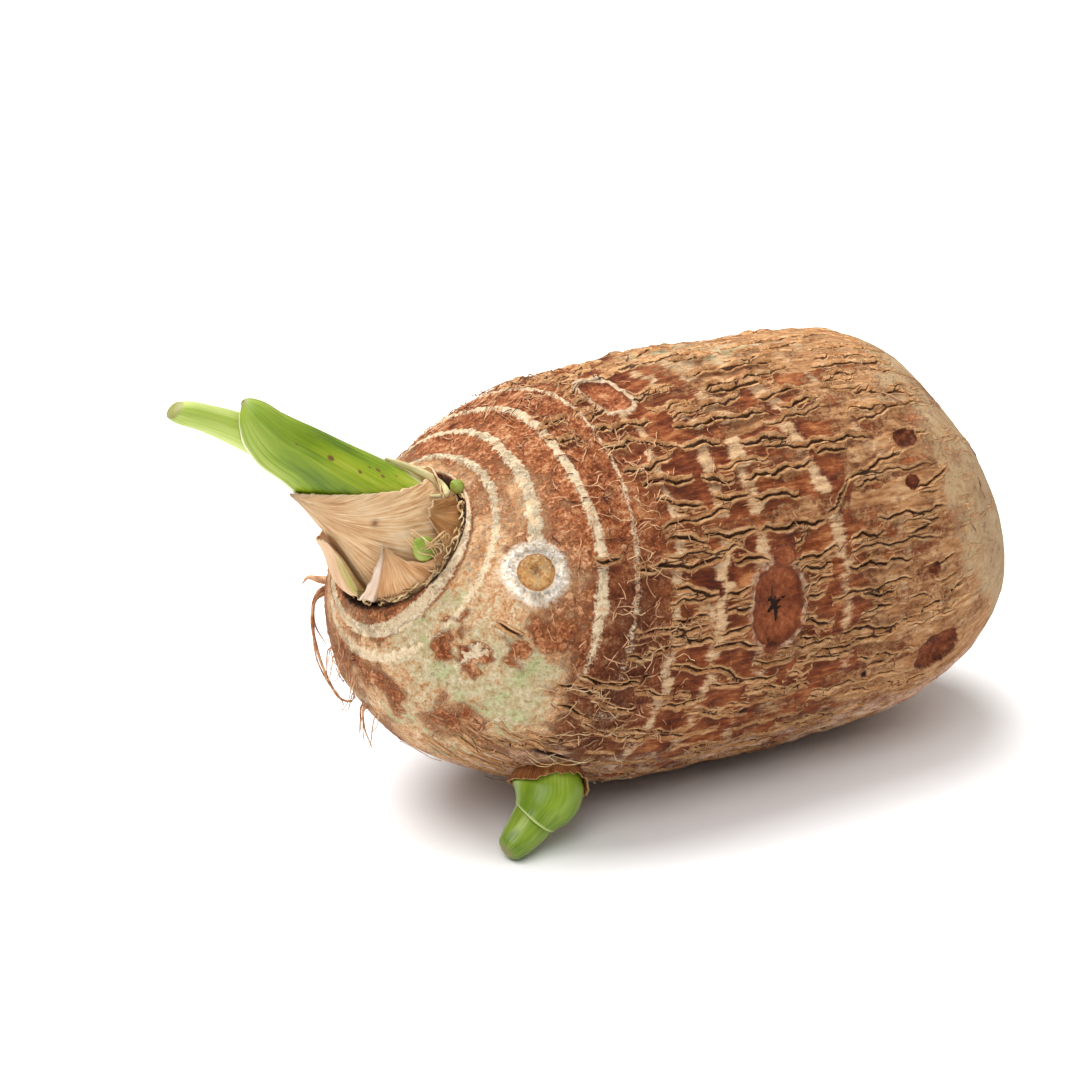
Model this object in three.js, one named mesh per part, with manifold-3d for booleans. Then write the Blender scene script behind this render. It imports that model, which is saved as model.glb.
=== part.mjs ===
// A taro root as picked, lying on its belly: one ringed, corky corm with a leaf shoot in a
// socket at its crown, small crown buds, a side shoot under its front and dry root strands.
// Millimetres, +Z up. The crown points to -X, the old butt end to +X, the front to -Y.
import * as THREE from 'three';
import { mergeVertices } from 'three/addons/utils/BufferGeometryUtils.js';
import Module from 'manifold-3d';

const wasm = await Module();
wasm.setup();

// ---- Driving dimensions of the corm ----
const GIRTH_RADIUS = 52.5;      // radius at the middle
const BUTT_REACH = 90.5;        // from the middle to the old end, along X
const CROWN_REACH = 87;         // from the middle to the growing end, along X
const BUTT_BOW = 10;            // how far the axis bends to the front at each end
const CROWN_BOW = 5.3;
const BUTT_LIFT = 8.5;          // how far the axis rises at each end
const CROWN_LIFT = 20.8;
// Powers that shape the ends: how late the axis bends and rises, and how full the girth stays.
const BUTT_POWERS = { bow: 2, lift: 5, girth: 4.5, round: 0.52 };
const CROWN_POWERS = { bow: 1.6, lift: 3.7, girth: 3, round: 0.4 };
const WAIST_DEPTH = 0.022;      // how far the girth dips between middle and crown, as a share
const WAIST_END = 0.85;         // where that dip ends, as a share of the crown's reach
const REST_FLAT = 0.9;          // depth of the belly that is pressed flat
const GAP = 0.3;                // clearance between neighbouring pieces

// ---- Relief of the corm's skin ----
const COLUMNS = 72;             // facets around
const HALF_FACET = Math.PI / COLUMNS;   // a facet's middle, not its edge, is at the very bottom
const ROW_STEP = 5.6;           // longest facet along
const CLOSEST_ROWS = 0.9;       // rows nearer than this are left out
const FIRST_ROW = -83.9;        // station of the first row outside the crown's socket
const RING_STATIONS = [-81.6, -77.1, -63.7, -52, -42.3, -33, -23, -11.5, 1, 14, 29, 46];
const RING_HEIGHT = 1.1;
const RING_HALF_WIDTH = 1.7;
const RIDGE_COUNT = COLUMNS / 2;    // cork ridges around, one facet up and one down
const RIDGE_HEIGHT = 0.8;
const RIDGE_ZONE = [-50, 72];       // cork ridges run between these stations
const RIDGE_FADE = [8, 14];         // over these lengths the ridges grow in and fade out
const RIDGE_TURN = 2.4;             // each band between two rings shifts its ridges by this, radians
const RIDGE_WANDER = { height: 1.1, waves: 5, turn: 2, slope: 0.12 };   // how the ridges sway
const LUMP_HEIGHT = 0.5;
const LUMP_LENGTHS = [19, 27];      // along the corm
const LUMPS_AROUND = [3, 2];
const PRESSED = { angle: 0.32, length: 42 };    // the belly's relief fades inside this patch

// Dormant buds, raised like buttons: station x, angle in degrees (0 front, 90 top), sizes.
const BUTTONS = [
  { x: -75.4, turn: 13, radius: 4.3, height: 2.2 },
  { x: -58.0, turn: 171, radius: 4.0, height: 2.0 },
];
// Scars, in the same terms: half sizes along and around, height of the middle and of the rim.
const SCARS = [
  { x: -11.4, turn: 4, along: 7.4, around: 9.4, lift: -1.5, rim: 0.8, fine: true },
  { x: -36.4, turn: 77, along: 6.2, around: 7.4, lift: -0.9, rim: 0.8 },
  { x: 49.3, turn: -23, along: 7.5, around: 6.0, lift: -1.2, rim: 0.3 },
  { x: 44.0, turn: 41, along: 4.2, around: 2.6, lift: -1.0, rim: 0.3 },
  { x: 6.0, turn: 150, along: 5.0, around: 8.0, lift: -1.4, rim: 0.8 },
  { x: 33.0, turn: 215, along: 4.6, around: 5.5, lift: -1.0, rim: 0.6 },
];

// ---- The crown: its socket and the shoot that stands in it ----
const SHOOT_BASE = [-83.9, -5.1, 72.6];     // middle of the shoot's base before the belly is pressed
const SHOOT_RISE = 43;                      // degrees above the floor
const SHOOT_YAW = 2.8;                      // degrees towards the front
const SOCKET_RADIUS = 17.0;
const SOCKET_LIP = [[17.4, -0.7], [18.7, 0.1]];     // [radius, height] of its edge and crest
const SOCKET_FLOOR = -2.8;                  // heights along the shoot from its base
const SHOOT_FOOT = SOCKET_FLOOR + GAP;

// Outlines along the shoot: [height, middle's offset upwards, radius].
const PETIOLE = [
  [-2.5, 0.3, 13.8], [3, 0.8, 13.4], [8, 1.5, 12.6], [18, 1.9, 10.2], [30, 1.3, 8.0],
  [37, 0.7, 7.1], [48, -0.5, 5.8], [54, 0.3, 4.1], [57.5, 0.9, 2.6],
];
const PETIOLE_WALL = 1.1;
const PETIOLE_FRONT_MARGIN = -84;       // angle of the margin that shows, in degrees
const PETIOLE_SLIT = [0.5, 1.5];        // radians left open at the foot, and how much more at the top
const PETIOLE_TOP_DIP = 4;              // how far the top edge dips between its two margins
const INNER_PETIOLE = [     // [height, upwards, frontwards, radius]
  [-2.0, 0.0, 0.0, 8.0], [10, 0.6, 0.0, 7.2], [26, 0.6, -0.8, 5.2], [40, -1.0, -2.4, 4.1],
  [52, -3.6, -3.4, 3.4], [61, -6.2, -3.4, 2.6], [68.6, -8.8, -3.4, 1.8],
];
const DRY_WALL = 0.8;
// The inner sheath's torn edge is a sloping plane: height at the axis, fall upwards, rise frontwards.
const SHEATH_EDGE = { radius: 10.5, height: 19.71, fall: 1.31, rise: 0.36 };
const SHEATH_LEAST = 2.5;       // it is never torn lower than this
// How high the torn outer sheath stands at each angle around the shoot (0 front, 90 up).
const OUTER_SHEATH_TEARS = [
  [-180, 7], [-150, 9], [-126, 7], [-95, 5], [-70, 3.5], [-54, 6], [-32, 15.5], [-20, 11],
  [-8, 6], [4, 2.2], [16, 2.2], [30, 5.5], [50, 8], [75, 7], [110, 5], [150, 6],
];

// Small buds beside the shoot: where each sits and how big it is; angles in degrees.
const UPPER_BUD = { height: 1.3, angle: 67, distance: 18.6, size: 1.7, flatness: 1 };
const FRONT_BUD = { height: 6.6, angle: 4, distance: 16.6, size: 2.8, flatness: 0.55 };

// ---- The side shoot: middle of its stalk from inside the corm to its tip ----
const SIDE_SHOOT_PATH = [
  [-56.8, -27.4, 19.2], [-58.6, -28.9, 15.2], [-61.0, -30.5, 11.3], [-65.2, -32.1, 7.9],
  [-70.3, -33.8, 5.0], [-74.2, -34.7, 3.0], [-76.2, -34.9, 2.1],
];
const SCALE_RADII = [[0, 5.6], [0.15, 7.5], [0.28, 8.2], [0.38, 7.9], [0.46, 7.0], [0.53, 5.9]];
const TIP_RADII = [[0.33, 4.6], [0.56, 5.0], [0.74, 4.1], [0.88, 2.9], [0.97, 2.0], [1, 1.5]];
const SCALE_POCKET = 0.3;       // how far along the path the scale's pocket starts
const HUSK_EASE = 0.3;          // how far the husk stands off the round scale, beyond the gap
const HUSK_LOW_SIDE = 37;       // angle at which the husk is torn lowest, degrees from the front
const HUSK_HEIGHTS = [0.165, 0.29];      // lowest and highest, as shares of the path
const HUSK_RAGS = [[7, 0.025, 0], [11, 0.02, 1]];   // [waves around, height, phase] of its torn edge

// ---- Dry root strands ----
const TUFT_STRANDS = [
  { from: [-89.5, 17.0, 56.5], to: [[-92.6, 18.6, 57.8], [-95.0, 19.8, 58.4], [-96.4, 19.6, 57.4]] },
  { from: [-89.5, 17.0, 56.5], to: [[-93.0, 18.6, 54.5], [-95.4, 17.6, 49.0], [-95.8, 14.8, 42.0],
    [-94.9, 11.8, 35.4], [-93.2, 8.8, 30.6], [-90.9, 7.0, 30.2]] },
  { from: [-89.5, 17.0, 56.5], to: [[-92.4, 20.4, 52.0], [-92.8, 20.6, 46.0], [-91.4, 18.4, 41.5]] },
];
const LOW_STRANDS = [
  { from: [-86.6, 4.0, 32.4], to: [[-89.4, 4.4, 29.0], [-90.0, 3.4, 24.4], [-88.6, 2.6, 19.4]] },
  { from: [-86.6, 4.0, 32.4], to: [[-88.4, 7.0, 28.4], [-88.0, 8.6, 24.0]] },
];
const STRAND_RADIUS = 0.6;
const STRAND_TAPER = 0.5;       // share of the radius lost at a strand's tip
const STRAND_STEPS = 4;         // rings for each point of a strand's path
const STRAND_SIDE = [0.2, 1, 0.1];      // a direction no strand runs along, to turn rings by
const KNOB_RADIUS = 1.6;

// ---- Small helpers ----
const UP = new THREE.Vector3(0, 0, 1);
const radians = THREE.MathUtils.degToRad;
const clamp = THREE.MathUtils.clamp;
const bell = (t) => Math.exp(-t * t);
const polar = (angle, radius) => [radius * Math.cos(angle), radius * Math.sin(angle)];

// Straight lines between [place, value, ...] points; columns picks the value.
function along(points, place, column = 1) {
  const next = points.findIndex((point) => point[0] >= place);
  if (next === 0) return points[0][column];
  if (next < 0) return points[points.length - 1][column];
  const [a, b] = [points[next - 1], points[next]];
  return THREE.MathUtils.mapLinear(place, a[0], b[0], a[column], b[column]);
}

// The same, around a closed circle of degrees.
function around(points, angle) {
  const degrees = THREE.MathUtils.euclideanModulo(THREE.MathUtils.radToDeg(angle) + 180, 360) - 180;
  return along([...points, [180, points[0][1]]], degrees);
}

// One closed body from its corners and quads or triangles, turned so that its faces point out.
function solid(corners, faces) {
  const triangles = faces.flatMap((f) => (f.length === 3 ? [f] : [[f[0], f[1], f[2]], [f[0], f[2], f[3]]]));
  const volume = triangles.reduce((sum, [a, b, c]) =>
    sum + corners[a].dot(new THREE.Vector3().crossVectors(corners[b], corners[c])), 0);
  if (volume < 0) triangles.forEach((t) => t.reverse());
  const geometry = new THREE.BufferGeometry();
  const positions = corners.flatMap((p) => [p.x, p.y, p.z]);
  geometry.setAttribute('position', new THREE.Float32BufferAttribute(positions, 3));
  geometry.setIndex(triangles.flat());
  return geometry;
}

// A skin over rings of equal count, closed by a point at either end.
function loft(start, rings, end) {
  const count = rings[0].length;
  const corners = [start, ...rings.flat(), end];
  const faces = [];
  for (let i = 0; i < count; i += 1) {
    const j = (i + 1) % count;
    faces.push([0, 1 + i, 1 + j]);
    for (let row = 0; row + 1 < rings.length; row += 1) {
      const here = 1 + row * count;
      faces.push([here + i, here + count + i, here + count + j, here + j]);
    }
    const last = 1 + (rings.length - 1) * count;
    faces.push([last + j, last + i, corners.length - 1]);
  }
  return solid(corners, faces);
}

// A thin wall between an outer and an inner skin: a whole ring, or a strip with two side edges.
function wall(columns, rows, wraps, outer, inner) {
  const corners = [];
  const skins = [outer, inner].map((skin) => {
    const first = corners.length;
    for (let i = 0; i < columns; i += 1) {
      for (let j = 0; j <= rows; j += 1) corners.push(skin(i, j / rows));
    }
    return (i, j) => first + (i % columns) * (rows + 1) + j;
  });
  const [out, into] = skins;
  const faces = [];
  for (let i = 0; i < (wraps ? columns : columns - 1); i += 1) {
    for (let j = 0; j < rows; j += 1) {
      faces.push([out(i, j), out(i + 1, j), out(i + 1, j + 1), out(i, j + 1)]);
      faces.push([into(i, j), into(i, j + 1), into(i + 1, j + 1), into(i + 1, j)]);
    }
    faces.push([out(i, rows), out(i + 1, rows), into(i + 1, rows), into(i, rows)]);
    faces.push([out(i + 1, 0), out(i, 0), into(i, 0), into(i + 1, 0)]);
  }
  if (!wraps) {
    const last = columns - 1;
    for (let j = 0; j < rows; j += 1) {
      faces.push([out(0, j), out(0, j + 1), into(0, j + 1), into(0, j)]);
      faces.push([out(last, j), into(last, j), into(last, j + 1), out(last, j + 1)]);
    }
  }
  return solid(corners, faces);
}

function roundBall(columns, rows) {
  const ball = new THREE.SphereGeometry(1, columns, rows);
  return mergeVertices(ball.deleteAttribute('normal').deleteAttribute('uv'));
}

function toManifold(geometry) {
  const merged = mergeVertices(geometry);
  return new wasm.Manifold(new wasm.Mesh({
    numProp: 3,
    vertProperties: new Float32Array(merged.attributes.position.array),
    triVerts: new Uint32Array(merged.index.array),
  }));
}

function fromManifold(manifold) {
  const mesh = manifold.getMesh();
  const geometry = new THREE.BufferGeometry();
  geometry.setAttribute('position', new THREE.Float32BufferAttribute(mesh.vertProperties, 3));
  geometry.setIndex(Array.from(mesh.triVerts));
  return geometry;
}

// The biggest piece of what is left of a body after another is taken from it.
function cutBy(body, cutter) {
  const pieces = body.subtract(cutter).decompose();
  return fromManifold(pieces.sort((a, b) => b.volume() - a.volume())[0]);
}

// ---- The corm's surface ----
function spine(x) {
  const butt = Math.max(x / BUTT_REACH, 0);
  const crown = Math.max(-x / CROWN_REACH, 0);
  const y = -BUTT_BOW * butt ** BUTT_POWERS.bow - CROWN_BOW * crown ** CROWN_POWERS.bow;
  const rise = BUTT_LIFT * butt ** BUTT_POWERS.lift + CROWN_LIFT * crown ** CROWN_POWERS.lift;
  const z = GIRTH_RADIUS - REST_FLAT + rise;
  return new THREE.Vector3(x, y, z);
}

function girth(x) {
  const butt = clamp(x / BUTT_REACH, 0, 1);
  const crown = clamp(-x / CROWN_REACH, 0, 1);
  if (x > 0) return GIRTH_RADIUS * (1 - butt ** BUTT_POWERS.girth) ** BUTT_POWERS.round;
  const waist = WAIST_DEPTH * Math.sin(Math.PI * Math.min(crown / WAIST_END, 1)) ** 2;
  return GIRTH_RADIUS * ((1 - crown ** CROWN_POWERS.girth) ** CROWN_POWERS.round - waist);
}

// Directions at a station: towards the crown, to the front and up.
function stationFrame(x) {
  const step = 0.01;
  const forward = spine(x - step).sub(spine(x + step)).normalize();
  const front = new THREE.Vector3().crossVectors(UP, forward).normalize();
  return { forward, front, up: new THREE.Vector3().crossVectors(forward, front) };
}

// Distance along the skin from the crown, as a function of the station.
const ARC_SAMPLES = 600;
const arcTable = [];
for (let i = 0, length = 0; i <= ARC_SAMPLES; i += 1) {
  const swing = Math.cos(Math.PI * (1 - i / ARC_SAMPLES));
  const x = swing * (swing > 0 ? BUTT_REACH : CROWN_REACH);
  if (i > 0) length += Math.hypot(x - arcTable[i - 1][0], girth(x) - girth(arcTable[i - 1][0]));
  arcTable.push([x, length]);
}
const arcOf = (x) => along(arcTable, x);
const stationOf = (arc) => along(arcTable.map(([x, length]) => [length, x]), arc);
const RING_ARCS = RING_STATIONS.map(arcOf);

// A scar's own height, and how far it clears the rings and ridges away.
function scarRelief(scar, x, theta) {
  const turned = THREE.MathUtils.euclideanModulo(theta - radians(scar.turn) + Math.PI, 2 * Math.PI);
  const away = [arcOf(x) - arcOf(scar.x), (turned - Math.PI) * girth(x)];
  const distance = Math.hypot(away[0] / scar.along, away[1] / scar.around);
  const middle = scar.lift * Math.max(1 - distance ** 4, 0);
  const rim = scar.rim * bell((distance - 1.15) / 0.25);
  return { height: middle + rim, clear: clamp((distance - 0.9) / 0.4, 0, 1) };
}

function relief(x, theta) {
  const arc = arcOf(x);
  const ring = RING_ARCS.reduce((sum, at) => sum + bell((arc - at) / RING_HALF_WIDTH * 1.6), 0);
  const band = RING_STATIONS.filter((at) => at < x).length;
  const [start, end] = RIDGE_ZONE;
  const zone = clamp((x - start) / RIDGE_FADE[0], 0, 1) * clamp((end - x) / RIDGE_FADE[1], 0, 1);
  const sway = RIDGE_WANDER.height * Math.sin(RIDGE_WANDER.waves * theta + RIDGE_WANDER.turn * band);
  const wander = RIDGE_TURN * band + sway + RIDGE_WANDER.slope * x;
  const ridge = zone * Math.cos(RIDGE_COUNT * (theta - HALF_FACET) + wander);
  const lump = Math.sin(LUMPS_AROUND[0] * theta + x / LUMP_LENGTHS[0])
    * Math.cos(LUMPS_AROUND[1] * theta + x / LUMP_LENGTHS[1]);
  const scars = SCARS.map((scar) => scarRelief(scar, x, theta));
  const clear = scars.reduce((share, scar) => share * scar.clear, 1);
  const height = scars.reduce((sum, scar) => sum + scar.height, 0);
  const below = bell((theta - 1.5 * Math.PI) / PRESSED.angle) * bell(x / PRESSED.length);
  const grown = clear * (RING_HEIGHT * ring + RIDGE_HEIGHT * ridge) + LUMP_HEIGHT * lump;
  return (1 - below) * grown + height;
}

// A point on the skin, or on a surface that stands off it by a clearance.
function skinPoint(x, theta, clearance = 0) {
  const step = 0.05;
  const { forward, front, up } = stationFrame(x);
  const inside = clamp(x, -CROWN_REACH + step, BUTT_REACH - step);
  const slope = (girth(inside - step) - girth(inside + step)) / (2 * step);
  const outward = new THREE.Vector3()
    .addScaledVector(front, Math.cos(theta)).addScaledVector(up, Math.sin(theta));
  const normal = outward.clone().addScaledVector(forward, -slope).normalize();
  return spine(x).addScaledVector(outward, girth(x))
    .addScaledVector(normal, relief(x, theta) + clearance);
}

// Rows of facets: three on each ring, more across the widest scar, the rest evenly between.
function rowStations() {
  const onRings = RING_ARCS.flatMap((arc) => [arc - RING_HALF_WIDTH, arc, arc + RING_HALF_WIDTH]);
  const onScars = SCARS.filter((scar) => scar.fine)
    .flatMap((scar) => [-0.8, 0, 0.8].map((share) => arcOf(scar.x) + share * scar.along));
  const fixed = [arcOf(FIRST_ROW), ...onRings, ...onScars].sort((a, b) => a - b)
    .filter((arc, i, all) => i === 0 || arc - all[i - 1] > CLOSEST_ROWS);
  const end = arcOf(BUTT_REACH);
  const rows = [];
  for (const [i, arc] of fixed.entries()) {
    const next = fixed[i + 1] ?? end;
    const parts = Math.max(Math.round((next - arc) / ROW_STEP), 1);
    for (let k = 0; k < parts; k += 1) rows.push(arc + (next - arc) * k / parts);
  }
  return rows.map(stationOf);
}

// ---- The shoot's own frame ----
const shootBase = new THREE.Vector3(...SHOOT_BASE).sub(new THREE.Vector3(0, 0, REST_FLAT));
const shootAxis = new THREE.Vector3(
  -Math.cos(radians(SHOOT_RISE)) * Math.cos(radians(SHOOT_YAW)),
  -Math.cos(radians(SHOOT_RISE)) * Math.sin(radians(SHOOT_YAW)),
  Math.sin(radians(SHOOT_RISE)),
);
const shootFront = new THREE.Vector3().crossVectors(UP, shootAxis).normalize();
const shootUp = new THREE.Vector3().crossVectors(shootAxis, shootFront);

function shootPoint(height, front, up) {
  return shootBase.clone().addScaledVector(shootAxis, height)
    .addScaledVector(shootFront, front).addScaledVector(shootUp, up);
}

const circle = (count, place) => Array.from({ length: count }, (_, i) => place(2 * Math.PI * i / count));

// ---- Pieces ----
function cormGeometry(clearance = 0) {
  const rings = rowStations().map((x) => circle(COLUMNS, (angle) => {
    const point = skinPoint(x, angle + HALF_FACET, clearance);
    if (clearance === 0) point.z = Math.max(point.z, 0);
    return point;
  }));
  const lip = (radius, height) =>
    circle(COLUMNS, (angle) => shootPoint(height, ...polar(angle + HALF_FACET, radius)));
  for (const [radius, height] of [...SOCKET_LIP].reverse()) {
    rings.unshift(lip(radius - clearance, height + clearance));
  }
  rings.unshift(lip(SOCKET_RADIUS - clearance, SOCKET_FLOOR + clearance));
  return loft(shootPoint(SOCKET_FLOOR + clearance, 0, 0), rings, skinPoint(BUTT_REACH, 0, clearance));
}

// A dormant bud: a low dome that has grown out of the skin.
function buttonDome({ x, turn, radius, height }) {
  const theta = radians(turn);
  const step = 0.02;
  const middle = skinPoint(x, theta);
  const lengthways = skinPoint(x - step * 10, theta).sub(middle).normalize();
  const around = skinPoint(x, theta + step).sub(middle);
  const outward = new THREE.Vector3().crossVectors(around, lengthways).normalize();
  if (outward.dot(middle.clone().sub(spine(x))) < 0) outward.negate();
  const crossways = new THREE.Vector3().crossVectors(outward, lengthways);
  const place = new THREE.Matrix4().makeBasis(
    lengthways.clone().multiplyScalar(radius),
    crossways.multiplyScalar(radius),
    outward.multiplyScalar(height),
  ).setPosition(middle);
  return toManifold(roundBall(18, 8).applyMatrix4(place));
}

// The whole corm: its skin with the dormant buds grown onto it.
function cormSolid(clearance = 0) {
  const skin = toManifold(cormGeometry(clearance));
  return BUTTONS.reduce((whole, button) => whole.add(buttonDome(button)), skin);
}

function petioleOuter() {
  const columns = 22;
  const rows = 11;
  const top = PETIOLE[PETIOLE.length - 1][0];
  const skin = (shrink) => (i, v) => {
    const share = i / (columns - 1);
    const height = THREE.MathUtils.lerp(SHOOT_FOOT, top - PETIOLE_TOP_DIP * share * (1 - share), v);
    const opening = PETIOLE_SLIT[0] + PETIOLE_SLIT[1] * v ** 2;
    const angle = radians(PETIOLE_FRONT_MARGIN) + share * (2 * Math.PI - opening);
    const [front, up] = polar(angle, along(PETIOLE, height, 2) - shrink);
    return shootPoint(height, front, up + along(PETIOLE, height, 1));
  };
  return wall(columns, rows, false, skin(0), skin(PETIOLE_WALL));
}

function petioleInner(clearance = 0) {
  const rings = INNER_PETIOLE.map(([height, up, front, radius]) =>
    circle(14, (angle) => {
      const [f, u] = polar(angle, radius + clearance);
      return shootPoint(height, front + f, up + u);
    }));
  const [first, last] = [INNER_PETIOLE[0], INNER_PETIOLE[INNER_PETIOLE.length - 1]];
  return loft(shootPoint(first[0], first[2], first[1]), rings, shootPoint(last[0], last[2], last[1]));
}

// The tan sheath wraps the petiole and is torn along a slope: high below, low above.
function sheathMargin(angle) {
  const { radius, height, fall, rise } = SHEATH_EDGE;
  return height - fall * radius * Math.sin(angle) + rise * radius * Math.cos(angle);
}

function sheathInner() {
  const columns = 32;
  const stand = GAP + 0.15;
  const skin = (thickness) => (i, v) => {
    const angle = 2 * Math.PI * i / columns;
    const height = THREE.MathUtils.lerp(SHOOT_FOOT, Math.max(sheathMargin(angle), SHEATH_LEAST), v);
    const [front, up] = polar(angle, along(PETIOLE, height, 2) + stand + thickness);
    return shootPoint(height, front, up + along(PETIOLE, height, 1));
  };
  return wall(columns, 6, true, skin(DRY_WALL), skin(0));
}

function sheathOuter() {
  const columns = 40;
  const stand = 2 * (GAP + 0.15) + DRY_WALL;
  const skin = (thickness) => (i, v) => {
    const angle = 2 * Math.PI * i / columns;
    const height = THREE.MathUtils.lerp(SHOOT_FOOT, around(OUTER_SHEATH_TEARS, angle), v);
    const [front, up] = polar(angle, along(PETIOLE, height, 2) + stand + thickness);
    return shootPoint(height, front, up + along(PETIOLE, height, 1));
  };
  return wall(columns, 4, true, skin(DRY_WALL), skin(0));
}

// A small bud beside the shoot: a ball, flattened towards the shoot.
function bud({ height, angle: degrees, distance, size, flatness }) {
  const angle = radians(degrees);
  const out = shootPoint(0, ...polar(angle, 1)).sub(shootBase);
  const side = new THREE.Vector3().crossVectors(shootAxis, out);
  const basis = new THREE.Matrix4().makeBasis(
    out.clone().multiplyScalar(size * flatness),
    side.multiplyScalar(size),
    shootAxis.clone().multiplyScalar(size),
  ).setPosition(shootPoint(height, ...polar(angle, distance)));
  return roundBall(12, 8).applyMatrix4(basis);
}

const sideShootCurve = new THREE.CatmullRomCurve3(SIDE_SHOOT_PATH.map((p) => new THREE.Vector3(...p)));

// A ring around the side shoot's path; angle 0 faces the front.
function sideRing(count, place, radius) {
  const middle = sideShootCurve.getPointAt(place);
  const forward = sideShootCurve.getTangentAt(place);
  const side = new THREE.Vector3(0, -1, 0).projectOnPlane(forward).normalize();
  const across = new THREE.Vector3().crossVectors(forward, side);
  return circle(count, (angle) => {
    const [a, b] = polar(angle, typeof radius === 'function' ? radius(angle) : radius);
    return middle.clone().addScaledVector(side, a).addScaledVector(across, b);
  });
}

// The round green scale is a cup: its skin turns in at the rim, down to a pocket for the tip.
function sideScale() {
  const count = 24;
  const end = SCALE_RADII[SCALE_RADII.length - 1][0];
  const places = [0, 0.08, 0.15, 0.22, 0.28, 0.33, 0.38, 0.42, 0.46, 0.5, end];
  const outside = places.map((place) => sideRing(count, place, along(SCALE_RADII, place)));
  const inside = [end, 0.45, 0.38, SCALE_POCKET].map((place) =>
    sideRing(count, place, along(TIP_RADII, place) + GAP + 0.15));
  return loft(sideShootCurve.getPointAt(0), [...outside, ...inside],
    sideShootCurve.getPointAt(SCALE_POCKET));
}

function sideTip() {
  const places = [0.33, 0.4, 0.48, 0.56, 0.65, 0.74, 0.81, 0.88, 0.94, 1];
  const rings = places.map((place) => sideRing(16, place, along(TIP_RADII, place)));
  return loft(sideShootCurve.getPointAt(places[0]), rings, sideShootCurve.getPointAt(1));
}

// The husk is the torn brown bud case, a collar with one high flap on either side.
function sideHusk() {
  const columns = 28;
  const skin = (thickness) => (i, v) => {
    const angle = 2 * Math.PI * i / columns;
    const ragged = HUSK_RAGS.reduce((sum, [waves, tall, phase]) =>
      sum + tall * Math.sin(waves * angle + phase), 0);
    const flap = Math.sin(angle - radians(HUSK_LOW_SIDE)) ** 2;
    const height = v * (HUSK_HEIGHTS[0] + (HUSK_HEIGHTS[1] - HUSK_HEIGHTS[0]) * flap + ragged);
    const radius = along(SCALE_RADII, height) + GAP + HUSK_EASE + thickness;
    return sideRing(columns, height, radius)[i];
  };
  return wall(columns, 4, true, skin(DRY_WALL), skin(0));
}

function strandTuft(strands) {
  const knob = roundBall(10, 6).scale(KNOB_RADIUS, KNOB_RADIUS, KNOB_RADIUS)
    .translate(...strands[0].from);
  return strands.map(({ from, to }) => {
    const curve = new THREE.CatmullRomCurve3([from, ...to].map((p) => new THREE.Vector3(...p)));
    const steps = to.length * STRAND_STEPS;
    const rings = Array.from({ length: steps + 1 }, (_, k) => {
      const place = k / steps;
      const forward = curve.getTangentAt(place);
      const side = new THREE.Vector3(...STRAND_SIDE).projectOnPlane(forward).normalize();
      const across = new THREE.Vector3().crossVectors(forward, side);
      const radius = STRAND_RADIUS * (1 - STRAND_TAPER * place);
      return circle(5, (angle) => {
        const [a, b] = polar(angle, radius);
        return curve.getPointAt(place).addScaledVector(side, a).addScaledVector(across, b);
      });
    });
    return toManifold(loft(curve.getPointAt(0), rings, curve.getPointAt(1)));
  }).reduce((whole, strand) => whole.add(strand), toManifold(knob));
}

// ---- Assembly ----
const group = new THREE.Group();

function add(name, geometry, colour, roughness) {
  const material = new THREE.MeshStandardMaterial({ color: colour, roughness, metalness: 0 });
  const mesh = new THREE.Mesh(geometry, material);
  mesh.name = name;
  group.add(mesh);
}

const nearCorm = cormSolid(GAP);
const LEAF_GREEN = 0x8fb52f;
const YOUNG_GREEN = 0x9ab83c;
const SCALE_GREEN = 0x7fae2c;
const DRY_TAN = 0xcfa878;
const HUSK_BROWN = 0xa5602c;
const ROOT_BROWN = 0xb07a54;

add('corm', fromManifold(cormSolid()), 0x9a5f3c, 0.9);
add('petiole_outer', cutBy(toManifold(petioleOuter()), toManifold(petioleInner(GAP))), LEAF_GREEN, 0.45);
add('petiole_inner', petioleInner(), YOUNG_GREEN, 0.45);
add('sheath_inner_dry', sheathInner(), DRY_TAN, 0.8);
add('sheath_outer_dry', sheathOuter(), DRY_TAN, 0.85);
add('crown_bud_upper', cutBy(toManifold(bud(UPPER_BUD)), nearCorm), YOUNG_GREEN, 0.5);
add('crown_bud_front', bud(FRONT_BUD), YOUNG_GREEN, 0.5);
add('side_shoot_scale', cutBy(toManifold(sideScale()), nearCorm), SCALE_GREEN, 0.4);
add('side_shoot_tip', sideTip(), SCALE_GREEN, 0.45);
add('side_shoot_husk', cutBy(toManifold(sideHusk()), nearCorm), HUSK_BROWN, 0.8);
add('root_tuft', cutBy(strandTuft(TUFT_STRANDS), nearCorm), ROOT_BROWN, 0.9);
add('root_strand', cutBy(strandTuft(LOW_STRANDS), nearCorm), ROOT_BROWN, 0.9);

export default group;
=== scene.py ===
# %% [markdown]
# # A taro root, as picked
# One ringed, corky corm lies on its belly. A leaf shoot stands in a socket at its crown, a side
# shoot grows under its front, and dry roots and fibres are left where the roots were pulled.
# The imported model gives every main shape. Each cell below dresses one piece of it.

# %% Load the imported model
import math

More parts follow.
